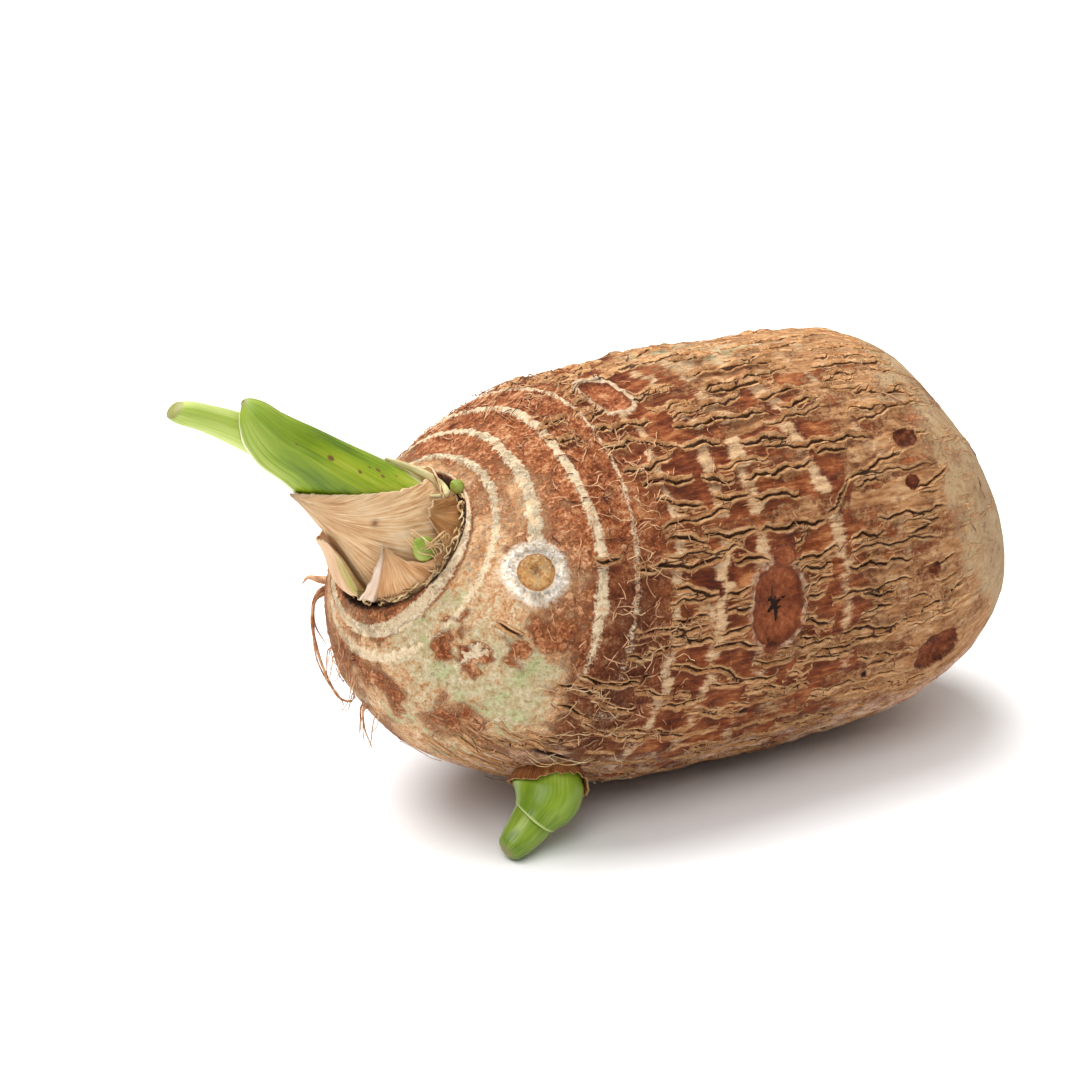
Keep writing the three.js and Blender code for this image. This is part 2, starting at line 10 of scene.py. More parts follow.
import bmesh
import bpy
import numpy as np
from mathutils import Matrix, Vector


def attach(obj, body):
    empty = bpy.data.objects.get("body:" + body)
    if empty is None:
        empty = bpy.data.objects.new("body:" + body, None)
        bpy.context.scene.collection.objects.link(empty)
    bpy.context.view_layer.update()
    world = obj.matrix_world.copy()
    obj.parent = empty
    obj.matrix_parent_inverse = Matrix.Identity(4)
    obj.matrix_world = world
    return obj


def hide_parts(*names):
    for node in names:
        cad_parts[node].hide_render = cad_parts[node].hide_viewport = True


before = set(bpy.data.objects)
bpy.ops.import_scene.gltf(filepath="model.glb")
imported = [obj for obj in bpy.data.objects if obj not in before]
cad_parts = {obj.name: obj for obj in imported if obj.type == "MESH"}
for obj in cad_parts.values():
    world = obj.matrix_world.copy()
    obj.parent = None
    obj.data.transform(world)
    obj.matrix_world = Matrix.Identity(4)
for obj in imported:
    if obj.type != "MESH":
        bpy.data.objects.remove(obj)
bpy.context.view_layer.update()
print("packed model:", len(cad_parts), "nodes")

# %% [markdown]
# ## Camera
# A longish lens from a little above the crown's front corner shows the shoot, the rings and the
# corky flank at once. Shapes are worked out in millimetres and made in metres, so one factor
# does the change.

# %% Camera
MM = 0.001
LENS = 85.0                                  # mm, on a 36 mm sensor
CAMERA_PLACE = (-373.8, -476.2, 253.6)       # mm
CAMERA_TURN = 34.75                          # degrees from +Y towards +X
CAMERA_DIP = 18.0                            # degrees below the horizon

camera = bpy.data.objects.new("camera", bpy.data.cameras.new("camera"))
camera.data.lens = LENS
camera.data.sensor_width = 36.0
camera.location = Vector(CAMERA_PLACE) * MM
camera.rotation_euler = (math.radians(90 - CAMERA_DIP), 0, math.radians(-CAMERA_TURN))
bpy.context.scene.collection.objects.link(camera)
bpy.context.scene.camera = camera
print("camera at", [round(v, 4) for v in camera.location])

# %% [markdown]
# ## Light and floor
# A white studio: one broad soft light from above and behind gives the shadow that falls to the
# front, a weaker one fills the front, and the white room does the rest.

# %% Light and floor
def soft_light(name, strength, spread, turn, height):
    """A sun lamp as wide as a soft box. Turn 0 shines from the front, 90 from the right."""
    lamp = bpy.data.lights.new(name, "SUN")
    lamp.energy = strength
    lamp.angle = math.radians(spread)
    holder = bpy.data.objects.new(name, lamp)
    across = math.cos(math.radians(height))
    source = Vector((math.sin(math.radians(turn)) * across, -math.cos(math.radians(turn)) * across,
                     math.sin(math.radians(height))))
    holder.rotation_mode = "QUATERNION"
    holder.rotation_quaternion = source.to_track_quat("Z", "Y")
    bpy.context.scene.collection.objects.link(holder)


soft_light("soft_box_above", 4.0, 50, -150, 70)
soft_light("soft_box_front", 1.15, 40, -50, 48)

room = bpy.data.worlds.new("white_room")
bpy.context.scene.world = room
room.use_nodes = True
sky = room.node_tree
direction = sky.nodes.new("ShaderNodeTexCoord").outputs["Generated"]
parts = sky.nodes.new("ShaderNodeSeparateXYZ")
sky.links.new(direction, parts.inputs[0])
ceiling = sky.nodes.new("ShaderNodeMapRange")
for key, value in (("From Min", 0.05), ("From Max", 0.8), ("To Min", 0.06), ("To Max", 0.7)):
    ceiling.inputs[key].default_value = value
sky.links.new(parts.outputs["Z"], ceiling.inputs["Value"])
sky.links.new(ceiling.outputs["Result"], sky.nodes["Background"].inputs["Strength"])
sky.nodes["Background"].inputs["Color"].default_value = (1, 1, 1, 1)
bpy.context.scene.view_settings.view_transform = "Standard"

bpy.ops.mesh.primitive_plane_add(size=40.0)
floor = bpy.context.object
floor.name = "floor"
print("floor", tuple(round(side) for side in floor.dimensions), "m, two soft boxes, a white room")

# %% [markdown]
# ## One helper for every material
# A material is a tree of nodes. `add` puts one node into a tree, sets its properties and fills
# its inputs with values or with other nodes' outputs. Colours are written as the hex values a
# painter would pick, so one function turns them into the linear light that Blender adds up.

# %% Colour and node helpers
def linear(hex_colour):
    parts = [int(hex_colour[i:i + 2], 16) / 255 for i in (1, 3, 5)]
    return (*[p / 12.92 if p <= 0.04045 else ((p + 0.055) / 1.055) ** 2.4 for p in parts], 1.0)


def add(tree, kind, inputs=None, **settings):
    made = tree.nodes.new(kind)
    for name, value in settings.items():
        setattr(made, name, value)
    for key, value in (inputs or {}).items():
        if isinstance(value, bpy.types.NodeSocket):
            tree.links.new(value, made.inputs[key])
        else:
            made.inputs[key].default_value = value
    return made


def new_finish(name, **constants):
    """A material with one Principled shader, whose constants are set on its own sockets."""
    material = bpy.data.materials.new(name)
    material.use_nodes = True
    tree = material.node_tree
    shader = tree.nodes["Principled BSDF"]
    for key, value in constants.items():
        shader.inputs[key.replace("_", " ")].default_value = value
    return material, tree, shader


def set_stops(ramp, *stops):
    """Fills a colour ramp with (place, hex colour) stops."""
    elements = ramp.color_ramp.elements
    while len(elements) < len(stops):
        elements.new(0.5)
    for element, (place, colour) in zip(elements, stops):
        element.position = place
        element.color = linear(colour)
    return ramp


floor_paint, *_ = new_finish("matt_white_card", Roughness=0.9, Base_Color=linear("#F4F4F4"))
floor.data.materials.append(floor_paint)
print("floor finish:", floor_paint.name)

# %% [markdown]
# ## The corm's shape
# A taro corm is a swollen stem. Its axis bends a little to the front at both ends and rises at
# the crown, and its girth follows two power curves, so the whole body is a formula. Every point
# of the skin is then named by its station x along the axis and its angle round it: 0 faces the
# front, 90 the top.

# %% Axis, girth and skin
GIRTH_RADIUS = 52.5
BUTT_REACH, CROWN_REACH = 90.5, 87.0
BUTT_BOW, CROWN_BOW = 10.0, 5.3
BUTT_LIFT, CROWN_LIFT = 8.5, 20.8
REST_FLAT = 0.9
CORM_COLUMNS = 576
CORM_ROWS = 152


def unit(v):
    return v / np.linalg.norm(v, axis=-1, keepdims=True)


def spine(x):
    butt = np.clip(x / BUTT_REACH, 0, None)
    crown = np.clip(-x / CROWN_REACH, 0, None)
    y = -BUTT_BOW * butt ** 2 - CROWN_BOW * crown ** 1.6
    z = GIRTH_RADIUS - REST_FLAT + BUTT_LIFT * butt ** 5 + CROWN_LIFT * crown ** 3.7
    return np.stack([x, y, z], -1)


def girth(x):
    butt = np.clip(x / BUTT_REACH, 0, 1)
    crown = np.clip(-x / CROWN_REACH, 0, 1)
    waist = 0.022 * np.sin(np.pi * np.minimum(crown / 0.85, 1)) ** 2
    return GIRTH_RADIUS * np.where(x > 0, (1 - butt ** 4.5) ** 0.52, (1 - crown ** 3) ** 0.4 - waist)


def skin_point(x, theta, height=0.0):
    """Points on the skin at stations x and angles theta, standing off it by height."""
    x, theta, height = np.broadcast_arrays(np.asarray(x, float), theta, height)
    step = 0.05
    forward = unit(spine(x - step) - spine(x + step))
    front = unit(np.cross([0.0, 0.0, 1.0], forward))
    up = np.cross(forward, front)
    inside = np.clip(x, -CROWN_REACH + step, BUTT_REACH - step)
    slope = (girth(inside - step) - girth(inside + step)) / (2 * step)
    outward = np.cos(theta)[..., None] * front + np.sin(theta)[..., None] * up
    normal = unit(outward - slope[..., None] * forward)
    return spine(x) + girth(x)[..., None] * outward + height[..., None] * normal


def arc_table():
    """Stations from crown to butt, and the distance along the skin to each."""
    swing = np.cos(np.pi * (1 - np.linspace(0, 1, 1201)))
    x = np.where(swing > 0, swing * BUTT_REACH, swing * CROWN_REACH)
    steps = np.hypot(np.diff(x), np.diff(girth(x)))
    return x, np.concatenate([[0], np.cumsum(steps)])


TABLE_X, TABLE_ARC = arc_table()


def arc_of(x):
    return np.interp(x, TABLE_X, TABLE_ARC)


def station_of(arc):
    return np.interp(arc, TABLE_ARC, TABLE_X)


def smooth(value, low, high):
    t = np.clip((value - low) / (high - low), 0, 1)
    return t * t * (3 - 2 * t)


def bell(t):
    return np.exp(-t * t)


print("skin length from crown to butt:", round(float(TABLE_ARC[-1]), 1), "mm")

# %% [markdown]
# ## The shoot's own directions
# The leaf shoot leans out of the crown. Heights along it, and frontwards and upwards across it,
# are easier to read than x, y and z, so they get a frame of their own.

# %% The shoot's frame
SHOOT_BASE = np.array([-83.9, -5.1, 72.6 - REST_FLAT])
SHOOT_RISE, SHOOT_YAW = math.radians(43), math.radians(2.8)
shoot_axis = np.array([-math.cos(SHOOT_RISE) * math.cos(SHOOT_YAW),
                       -math.cos(SHOOT_RISE) * math.sin(SHOOT_YAW), math.sin(SHOOT_RISE)])
shoot_front = unit(np.cross([0.0, 0.0, 1.0], shoot_axis))
shoot_up = np.cross(shoot_axis, shoot_front)


def shoot_point(height, front, up):
    height, front, up = np.broadcast_arrays(height, front, up)
    return (SHOOT_BASE + height[..., None] * shoot_axis + front[..., None] * shoot_front
            + up[..., None] * shoot_up)


print("the shoot points along", np.round(shoot_axis, 2))

# %% [markdown]
# ## Rows and columns of the skin
# The skin is one grid: columns round the corm, rows along it. Rows stand closer at the crown and
# the corky middle, where the detail is, and wider at the plain butt end.

# %% The grid
CORM_FIRST_X = -83.9
first_arc = float(arc_of(CORM_FIRST_X))
trial = np.linspace(first_arc, TABLE_ARC[-1] - 0.6, 2000)
closeness = np.where(station_of(trial) < 40, 1.0, 0.6)
filled = np.concatenate([[0], np.cumsum(closeness[1:])])
row_arc = np.interp(np.linspace(0, filled[-1], CORM_ROWS), filled, trial)
row_x = station_of(row_arc)
row_girth = girth(row_x)
column_theta = np.arange(CORM_COLUMNS) * 2 * np.pi / CORM_COLUMNS
ARC, THETA = np.meshgrid(row_arc, column_theta, indexing="ij")
X = station_of(ARC)
DEGREES = (np.degrees(THETA) + 180) % 360 - 180


def cylinder(arc, theta):
    """Distance along the skin, and two coordinates that go round it without a seam."""
    return np.stack([arc, GIRTH_RADIUS * np.cos(theta), GIRTH_RADIUS * np.sin(theta)], -1)


ROUND = cylinder(ARC, THETA)
print("rows every", round(float(np.diff(row_arc).min()), 2), "to",
      round(float(np.diff(row_arc).max()), 2), "mm, columns every",
      round(2 * math.pi * GIRTH_RADIUS / CORM_COLUMNS, 2), "mm at the middle")


def turned(degrees, middle):
    """Angle from a middle, wrapped to half a turn either way, in degrees."""
    return (degrees - middle + 180) % 360 - 180


def drift(points, grain, seed, waves=28):
    """A soft random field from -1 to 1 or so: many waves of about one length, in all directions."""
    random = np.random.default_rng(seed)
    directions = unit(random.normal(size=(waves, 3))) * 2 * np.pi / grain
    directions *= random.uniform(0.6, 1.5, (waves, 1))
    phases = random.uniform(0, 2 * np.pi, waves)
    total = sum(np.cos(points @ k + p) for k, p in zip(directions, phases))
    return total / math.sqrt(waves / 2) / 1.6


# %% [markdown]
# ## Leaf rings
# Every ring is the scar of an old leaf base. It runs round the corm, drifts a little along it as
# it goes, and is paler than the skin between. A ring is a few points, each an angle, a station and
# how clearly the ring shows there. Where cork has split, every strip has slid a little on its own.

# %% Rings
RINGS = [       # half width, [(angle, station, strength), ...]
    (1.2, [(-140, -84.4, 0.5), (-111, -82.8, 0.9), (-97, -82.5, 1.0), (-69, -81.8, 1.0),
           (-57, -81.9, 0.8), (-40, -82, 0.55), (0, -81.8, 0.8), (60, -81.8, 0.9), (100, -82, 0.9)]),
    (1.8, [(-120, -74, 0.7), (-85, -76, 0.55), (-40, -77, 0.4), (0, -76.4, 0.5), (13, -75.9, 0.9),
           (25, -76.4, 1.1), (58, -77.3, 1.1), (75, -77.4, 0.8), (110, -75.6, 0.7), (180, -74, 0.8)]),
    (1.9, [(-120, -66, 0.6), (-80, -66.8, 0.5), (-35, -64, 0.35), (-10, -61.2, 0.6),
           (5, -61.8, 0.8), (18, -62.6, 0.85), (30, -64, 0.85), (45, -66.5, 0.85), (65, -68, 0.9),
           (80, -67.5, 1.0), (100, -66, 0.9), (180, -63, 0.9)]),
    (1.6, [(-30, -54, 0.42), (0, -53.5, 0.52), (30, -53, 0.58), (55, -52.3, 0.56), (85, -51.5, 0.7),
           (180, -53, 0.7)]),
    (1.6, [(-45, -42, 0.8), (0, -41.8, 1.1), (15, -40.5, 1.2), (45, -38.2, 1.2), (60, -37.3, 1.0),
           (100, -37, 0.9), (180, -42, 0.8)]),
    (2.2, [(-35, -31, 0.6), (0, -29.0, 0.9), (25, -25.5, 1.0), (45, -22, 1.1), (60, -19, 1.0),
           (85, -18.5, 0.8), (180, -27, 0.8)]),
    (2.9, [(-35, -16, 0.55), (0, -15, 0.6), (25, -13.8, 0.95), (37, -12.5, 1.0), (58, -9.5, 1.0),
           (80, -7, 0.8), (180, -12, 0.85)]),
    (2.9, [(-25, 16.5, 0.45), (0, 14, 0.6), (15, 12, 0.8), (35, 9, 0.95), (60, 8, 1.0), (90, 8, 0.8),
           (180, 6, 0.8)]),
    (2.0, [(-25, 33, 0.4), (0, 35, 0.5), (30, 34, 0.5), (70, 24, 0.6), (180, 26, 0.5)]),
    (2.0, [(-25, 52, 0.3), (30, 50, 0.35), (70, 44, 0.4), (180, 46, 0.4)]),
]
TRACKS = 84             # lengthwise strips that the corky middle splits into
strip_random = np.random.default_rng(21)
strip_slide, strip_tone = strip_random.normal(size=(2, TRACKS)).clip(-1.6, 1.6)
strip = (DEGREES / 360 * TRACKS + 0.3 * drift(ROUND * [1, 0.1, 0.1], 26, seed=10)).astype(int) % TRACKS
in_cork = smooth(X, -52, -42)
ring_wander = 0.75 * strip_slide[strip] * in_cork + 0.35 * drift(ROUND, 4.0, seed=12)
strips = 0.7 * strip_tone[strip]


def ring_field():
    field = np.zeros_like(X)
    for half_width, points in RINGS:
        angles, stations, strengths = zip(*points)
        station = np.interp(DEGREES, angles, stations, period=360)
        strength = np.interp(DEGREES, angles, strengths, period=360)
        away = ARC - arc_of(station) + ring_wander
        field = np.maximum(field, strength * bell(away / half_width * 0.83) ** 1.5)
    return field * (1 - in_cork * np.clip(0.15 - 0.5 * strips, 0, 0.7))


ring = ring_field()
print("rings cover", round(100 * float((ring > 0.5).mean()), 1), "% of the grid")

# %% [markdown]
# ## Cork cracks
# As the corm swells, its corky skin splits lengthwise. Each split is a dark wavy line with a
# raised tan lip on either side. The long ones that catch the eye are listed as
# (station, angle) from end to end, and short ones, drawn with a fixed seed, fill the rest.

# %% Where the cracks run
MAIN_CRACKS = [     # first station and angle, last station and angle
    (-69, 73, -56, 74), (-69, 68, -57, 61), (-53, 64, -30, 61.5), (-53, 56.5, -39, 57),
    (-40, 56, -27, 51), (-46, 43.5, -28, 41.5), (-42, 38, -28, 33), (-43, 27, -30, 24.5),
    (-65, 20.5, -57, 22), (-54, 19, -26, 19), (-43, 13.5, -29, 10), (-43, 4.5, -32, 5),
    (-43, 0, -30, -2.5), (-54, -6.5, -46, -4.5), (-42, -9, -30, -10.5), (-62, -15, -48, -14),
    (-65, -19.5, -57, -19), (-57, -21, -47, -23), (-41, -22.5, -30, -20), (-57, -30, -40, -31),
    (-43, -31, -28, -30.5), (-52, -41, -44, -39), (-29, 65, -12, 65), (-9, 67, 14, 65.5),
    (-26, 57, 5, 56), (-28, 51, -14, 49.5), (-10, 48, 8, 47.5), (-27, 41, -16, 38.5),
    (-14, 38, 11, 38.5), (12, 41, 24, 41), (-25, 35, -13, 33.5), (-13, 33, 3, 31), (-31, 26, -14, 24),
    (-14, 24, 9, 23), (9, 24, 20, 32), (20, 32, 42, 38), (-24, 18, -12, 16.5), (-4, 18, 2, 22),
    (-28, 9, -19, 11), (-28, 5, -18, 5.5), (-3, 11.5, 9, 11.5), (-2, 5, 6, 3.5), (-31, -3.5, -15, -6),
    (-3, -2, 10, -5), (-4, -6, 4, -9), (-31, -9, -18, -17), (-18, -11, -4, -13), (-4, -14, 17, -15),
    (-18, -20, 5, -23), (-30, -25, -17, -30), (13, 9.5, 38, 8), (15, 17, 29, 16.5), (18, 1, 32, -0.5),
    (12, -8, 34, -11), (9, 56, 24, 58), (-10, 75, 18, 74), (27, 62, 38, 63), (36, 15, 50, 17),
    (34, -10, 58, -3), (56, 14, 62, 0), (40, 26, 56, 30), (20, -18, 40, -20), (-16, -35, 8, -33),
    (30, 48, 50, 52), (40, 4, 54, 6), (-78, -12, -73.5, -10.8), (-63, -17, -55, -21),
    (-63, -26, -55, -27), (-66, -48, -56, -44), (-64, -40, -54, -38),
]
CRACK_SEED = 20
TICKS = [       # station, first and last angle, degrees apart, length (mm)
    (-76.9, 20, 60, 2.3, 2.8), (-77.4, -42, -20, 1.9, 3), (-71, 8, 19, 2, 3),
    (-65.6, 36, 66, 3.2, 2.8), (-53, -2, 62, 3.4, 3.2), (-75.5, 88, 150, 3.1, 2.8),
    (-63.5, 120, 200, 3.3, 2.8),
]


def filling_cracks():
    """Short cracks on evenly spread lines, left out where a main crack already runs."""
    random = np.random.default_rng(CRACK_SEED)
    found = []
    for track in range(TRACKS):
        middle = track * 360 / TRACKS
        x = -52 + random.uniform(-4, 8)
        if abs(turned(middle, -57)) < 17:       # the lower side splits further forward
            x -= 22
        while x < 62:
            length = random.uniform(9, 36)
            angle = middle + random.normal(0, 0.8)
            strength = random.uniform(0.35, 0.95)
            slope = random.normal(0, 0.06) + 0.03
            found.append((x, angle, x + length, angle + slope * length, strength))
            x += length + random.uniform(1, 7)
    return found


def clear_of_main(crack):
    x0, a0, x1, a1, strength = crack
    for m0, b0, m1, b1 in MAIN_CRACKS:
        overlap = min(x1, m1) - max(x0, m0)
        if overlap > 0 and abs(turned((a0 + a1) / 2, (b0 + b1) / 2)) < 1.9:
            return False
    return True


main_cracks = [(*crack, 1.0) for crack in MAIN_CRACKS]
small_cracks = [crack for crack in filling_cracks() if clear_of_main(crack)]
ticks = [(station - length / 2, angle, station + length / 2, angle + 0.5, 0.22)
         for station, first, last, apart, length in TICKS
         for angle in np.arange(first, last, apart)]
print(len(main_cracks), "main cracks,", len(small_cracks), "small ones and", len(ticks), "ticks")

# %% [markdown]
# A crack is stamped on the rows that it crosses. Each grid point keeps its signed distance to the
# nearest crack, so the line stays sharp between the points, and its share of the lip and of the
# painted shade, a dark band laid beyond the lip.

# %% Stamp the cracks on the grid
def stamp_cracks(cracks, seed, with_lips=True):
    """The signed distance to the nearest crack, how open it is, and the lip and painted shade beside it."""
    random = np.random.default_rng(seed)
    distance = np.full_like(X, 6.0)
    opening, lips, shade = (np.zeros_like(X) for _ in range(3))
    for x0, a0, x1, a1, strength in cracks:
        start, end = arc_of(x0), arc_of(x1)
        rows = np.nonzero((row_arc > start) & (row_arc < end))[0]
        wave_length, phase, phase_two = random.uniform(9, 16), *random.uniform(0, 2 * np.pi, 2)
        side = 1 if random.random() < 0.85 else -1
        if len(rows) < 2:
            continue
        along = row_arc[rows]
        t = (along - start) / (end - start)
        wave = 0.5 * np.sin(2 * np.pi * along / wave_length + phase)
        wave += 0.24 * np.sin(2 * np.pi * along / (0.4 * wave_length) + phase_two)
        wave *= 1.0 if with_lips else 0.2
        middle = np.radians(a0 + (a1 - a0) * t) + wave / row_girth[rows]
        ends = 4.5 if with_lips else 1.2
        taper = strength * np.clip(np.minimum(t, 1 - t) * (end - start) / ends, 0, 1) ** 0.7
        # Short cracks fade near the crown. All of them fade at the butt end and on the belly.
        taper = taper * (1 - 0.6 * smooth(-row_x[rows], 50, 58) * (strength < 1))
        taper = taper * (1 - 0.3 * smooth(row_x[rows], 14, 50))
        taper = taper * (1 - 0.8 * smooth(row_x[rows], 50, 60))
        taper = taper * smooth(np.abs(turned(np.degrees(middle), -90)), 6, 28)
        away = (THETA[rows] - middle[:, None] + np.pi) % (2 * np.pi) - np.pi
        away = away * row_girth[rows][:, None]
        near = (np.abs(away) < np.abs(distance[rows])) & (taper[:, None] > 0.04)
        distance[rows] = np.where(near, away, distance[rows])
        opening[rows] = np.where(near, taper[:, None], opening[rows])
        if with_lips:
            high = bell((away - side * 0.95) / 0.62) + 0.6 * bell((away + side * 0.9) / 0.5)
            lips[rows] = np.maximum(lips[rows], high * taper[:, None] ** 0.8)
            # Painted shade: a dark band beyond the smaller lip, where the lip would shade the cell.
            low = bell((away + side * 2.0) / 0.9)
            shade[rows] = np.maximum(shade[rows], low * taper[:, None])
    return distance, opening, lips, shade


crack_away, crack_open, crack_lips, crack_shade = stamp_cracks(main_cracks + small_cracks, seed=5)
tick_away, tick_open, *_ = stamp_cracks(ticks, seed=6, with_lips=False)
nearer = (np.abs(tick_away) < np.abs(crack_away)) & (tick_open > 0.05)
crack_away = np.where(nearer, tick_away, crack_away)
crack_open = np.where(nearer, tick_open, crack_open)
print("grid points on a lip:", int((crack_lips > 0.5).sum()))

# %% [markdown]
# ## Scars and dormant buds
# Round marks show where side corms were broken off: a sunken oval with a pale rim. The largest
# has dried out and split in a star. Two dormant buds stand out like buttons, each in a white halo.
# A mark is a station, an angle and its half sizes in millimetres.

# %% Scars and buds
SCARS = [       # station, angle, half along, half around, middle, rim, pale edge
    (-11.2, 4, 7.9, 9.3, -1.5, 0.8, 0.45),
    (-36.4, 77, 6.2, 7.4, -0.9, 0.8, 0.75),
    (49.3, -23, 7.8, 5.6, -2.4, 0.8, 0),
    (44, 41, 4.2, 2.4, -1.3, 0.6, 0),
    (41.5, 28.5, 2, 2.2, -1.3, 0.5, 0), (45.3, 3.8, 2, 1.6, -0.9, 0.4, 0),
    (6, 150, 5, 8, -1.4, 0.8, 0.4),
    (33, 215, 4.6, 5.5, -1, 0.6, 0.2),
    (-7.6, 16.6, 3.6, 2.2, 0.5, 0.2, 0.3),
    (-13, -6.5, 1.8, 2.4, -0.4, 0, 0),
]
BUTTONS = [     # station, angle, radius, height
    (-75.4, 13, 4.3, 2.2),
    (-58, 171, 4, 2),
]
PITS = [        # station, angle, half along, half around
    (-14.7, -29, 1.8, 1.5), (25, -25, 1.2, 1), (-47, -12, 1, 0.9),
    (-56.6, -46.6, 4.6, 1.3),
]


def offset_from(station, angle):
    """How far every grid point lies from a place, in millimetres along and round the corm."""
    along = ARC - arc_of(station)
    around = np.radians(turned(DEGREES, angle)) * girth(np.float64(station))
    return along, around


def away_from(station, angle, half_along, half_around):
    """Distance from a mark's middle, in its own half sizes."""
    along, around = offset_from(station, angle)
    return np.hypot(along / half_along, around / half_around)


SKIN_PLACE = skin_point(X, THETA)
scar_shape = 1 + 0.04 * drift(SKIN_PLACE, 12, seed=31) + 0.04 * drift(SKIN_PLACE, 4, seed=32)
scar_height = np.zeros_like(X)
scar_edge = np.full_like(X, 9.0)        # 1 on the edge of the nearest scar
pale_edge = np.zeros_like(X)
mark_place = np.zeros((*X.shape, 3))    # where a point lies in the nearest scar or bud
for station, angle, along, around, middle, edge, whiteness in SCARS:
    a, b = offset_from(station, angle)
    d = ((np.abs(a) / along) ** 2.5 + (np.abs(b) / around) ** 2.5) ** 0.4 * scar_shape
    scar_height += middle * np.clip(1 - d ** 4, 0, 1) + edge * bell((d - 1.12) / 0.16)
    inside = (d < 2.2) & (d < scar_edge)
    scar_edge = np.where(inside, d, scar_edge)
    pale_edge = np.where(inside, whiteness, pale_edge)
    place = np.stack([*offset_from(station, angle), np.full_like(X, along)], -1)
    mark_place = np.where(inside[..., None], place, mark_place)

button_height = np.zeros_like(X)
button_edge = np.full_like(X, 9.0)      # 1 on the edge of the nearest dormant bud
for station, angle, radius, rise in BUTTONS:
    d = away_from(station, angle, radius, radius)
    button_height += rise * np.sqrt(np.clip(1 - (d / 1.02) ** 2.6, 0, 1)) - 0.35 * bell((d - 1.12) / 0.1)
    button_height += 0.55 * bell((d - 1.45) / 0.3)
    button_edge = np.minimum(button_edge, d)
    place = np.stack([*offset_from(station, angle), np.full_like(X, radius)], -1)
    mark_place = np.where((d < 3)[..., None], place, mark_place)
halo_reach = 1.75 + 0.22 * drift(mark_place, 3.0, seed=14)

STAR_PLACE = (-10.6, 3.5)      # station and angle of the split star in the largest scar
STAR_ARMS = [       # turn, length, half width
    (95, 6.4, 1), (140, 4, 0.7), (215, 4.6, 0.9), (275, 5.6, 1), (330, 3.6, 0.6), (25, 5.2, 0.8)]
star = np.zeros_like(X)
along_star, round_star = offset_from(*STAR_PLACE)
for degrees, length, half_width in STAR_ARMS:
    c, s = math.cos(math.radians(degrees)), math.sin(math.radians(degrees))
    out = along_star * c + round_star * s
    off = -along_star * s + round_star * c
    taper = half_width * (1.15 - np.clip(out / length, 0, 1))
    star = np.maximum(star, bell(off / taper) * smooth(out, -0.6, 0.2) * smooth(out, length, 0.7 * length))

scar = 1 - smooth(scar_edge, 0.9, 1.05)
scar_clear = 1 - smooth(scar_edge, 1.02, 1.25)
button = 1 - smooth(button_edge, 0.95, 1.05)
halo = 1 - smooth(button_edge, halo_reach - 0.2, halo_reach + 0.2)
pit = np.zeros_like(X)
for station, angle, along, around in PITS:
    pit = np.maximum(pit, bell(away_from(station, angle, along, around)))
print("points inside scars:", int((scar > 0.5).sum()), "and on buds:", int((button > 0.5).sum()))

# %% [markdown]
# ## Patches
# The crown is patchy. Some of it is rubbed smooth and greenish, and elsewhere brown bark has
# stayed on. Each patch is a soft blot with a crooked outline, and the finish makes its edge ragged.

# %% Rubbed, brown and pale patches
RUBBED = [      # station, angle, half along, half around (mm), strength
    (-68.3, -19.5, 5.5, 8, 1), (-66.4, -29, 4.5, 6, 1), (-69.2, -41.8, 3, 4, 0.8),
    (-78.7, -17, 2.5, 4, 1), (-79.2, -49, 3, 5, 0.9), (-75.1, -74, 4, 7, 1), (-82.1, -10.5, 2, 5, 0.9),
    (-82.8, -40.8, 1.5, 6, 0.9), (-73.8, -41, 3, 4, 0.8), (-63, -19.8, 3, 4, 0.6),
    (-76.5, -84, 3, 5, 0.8), (-70, -68, 6, 6, 0.6), (-80.5, 80, 3, 16, 0.3), (-76.5, 84, 2.5, 12, 0.5),
    (-70, 200, 8, 18, 0.6), (26, 84, 12, 8, 0.45), (4, 88, 24, 12, 0.8),
]
BROWN_PATCHES = [
    (-80.2, -35.5, 2.6, 4.6, 0.9), (-77.4, -28.5, 2.6, 4.4, 1), (-71.6, -56, 5.6, 8.4, 1.05),
    (-80.2, -92, 4, 12, 1.15), (-78.6, -74, 3.8, 7, 1.1), (-84, -82, 1.6, 12, 1),
    (-81.2, -20, 1.6, 3.2, 0.9), (-73.3, -16.5, 2.2, 3, 1), (-69, -4, 6, 6.4, 0.95),
    (-75.2, -35, 2.4, 2.6, 0.8), (-59.5, -21.5, 4, 4.6, 0.9), (-65, -51, 5, 3, 0.75),
    (-84.4, -56, 1.3, 9, 1), (-81.5, -106, 3, 9, 1.2), (-79, 22, 1.2, 4, 0.7), (16, 34, 4.5, 7, 1),
    (54, 44, 4, 8, 0.5), (-76, -104, 5, 6, 0.7), (70, 60, 6, 6, 0.5), (45, -14, 8, 3, 0.5),
    (-55, -31, 4, 5, 0.9), (-58.5, -40, 4, 4, 0.7),
]
PALE_PATCHES = [
    (-33, 5.5, 3.4, 3.4, 1), (-29.6, 2, 1.4, 2.6, 0.8), (-77.3, -31, 1, 7, 0.9), (-33, 77, 2, 2, 0.6),
    (-9, -30, 7, 3, 0.5), (-52, -24, 2, 3, 0.6), (-66, -7, 3, 2.5, 0.5),
]
patch_shift = [1.8 * drift(SKIN_PLACE, 9.0, seed) + 1.1 * drift(SKIN_PLACE, 3.6, seed + 1)
               for seed in (61, 63)]


def patches(rows):
    """Soft blots with crooked outlines."""
    field = np.zeros_like(X)
    for station, angle, along, around, strength in rows:
        a, b = offset_from(station, angle)
        away = np.hypot((a + patch_shift[0]) / along, (b + patch_shift[1]) / around)
        field = np.maximum(field, 0.76 * strength * smooth(away, 1.4, 0.35))
    return field


brown = patches(BROWN_PATCHES)
print("brown patches cover", round(100 * float((brown > 0.4).mean()), 1), "% of the grid")

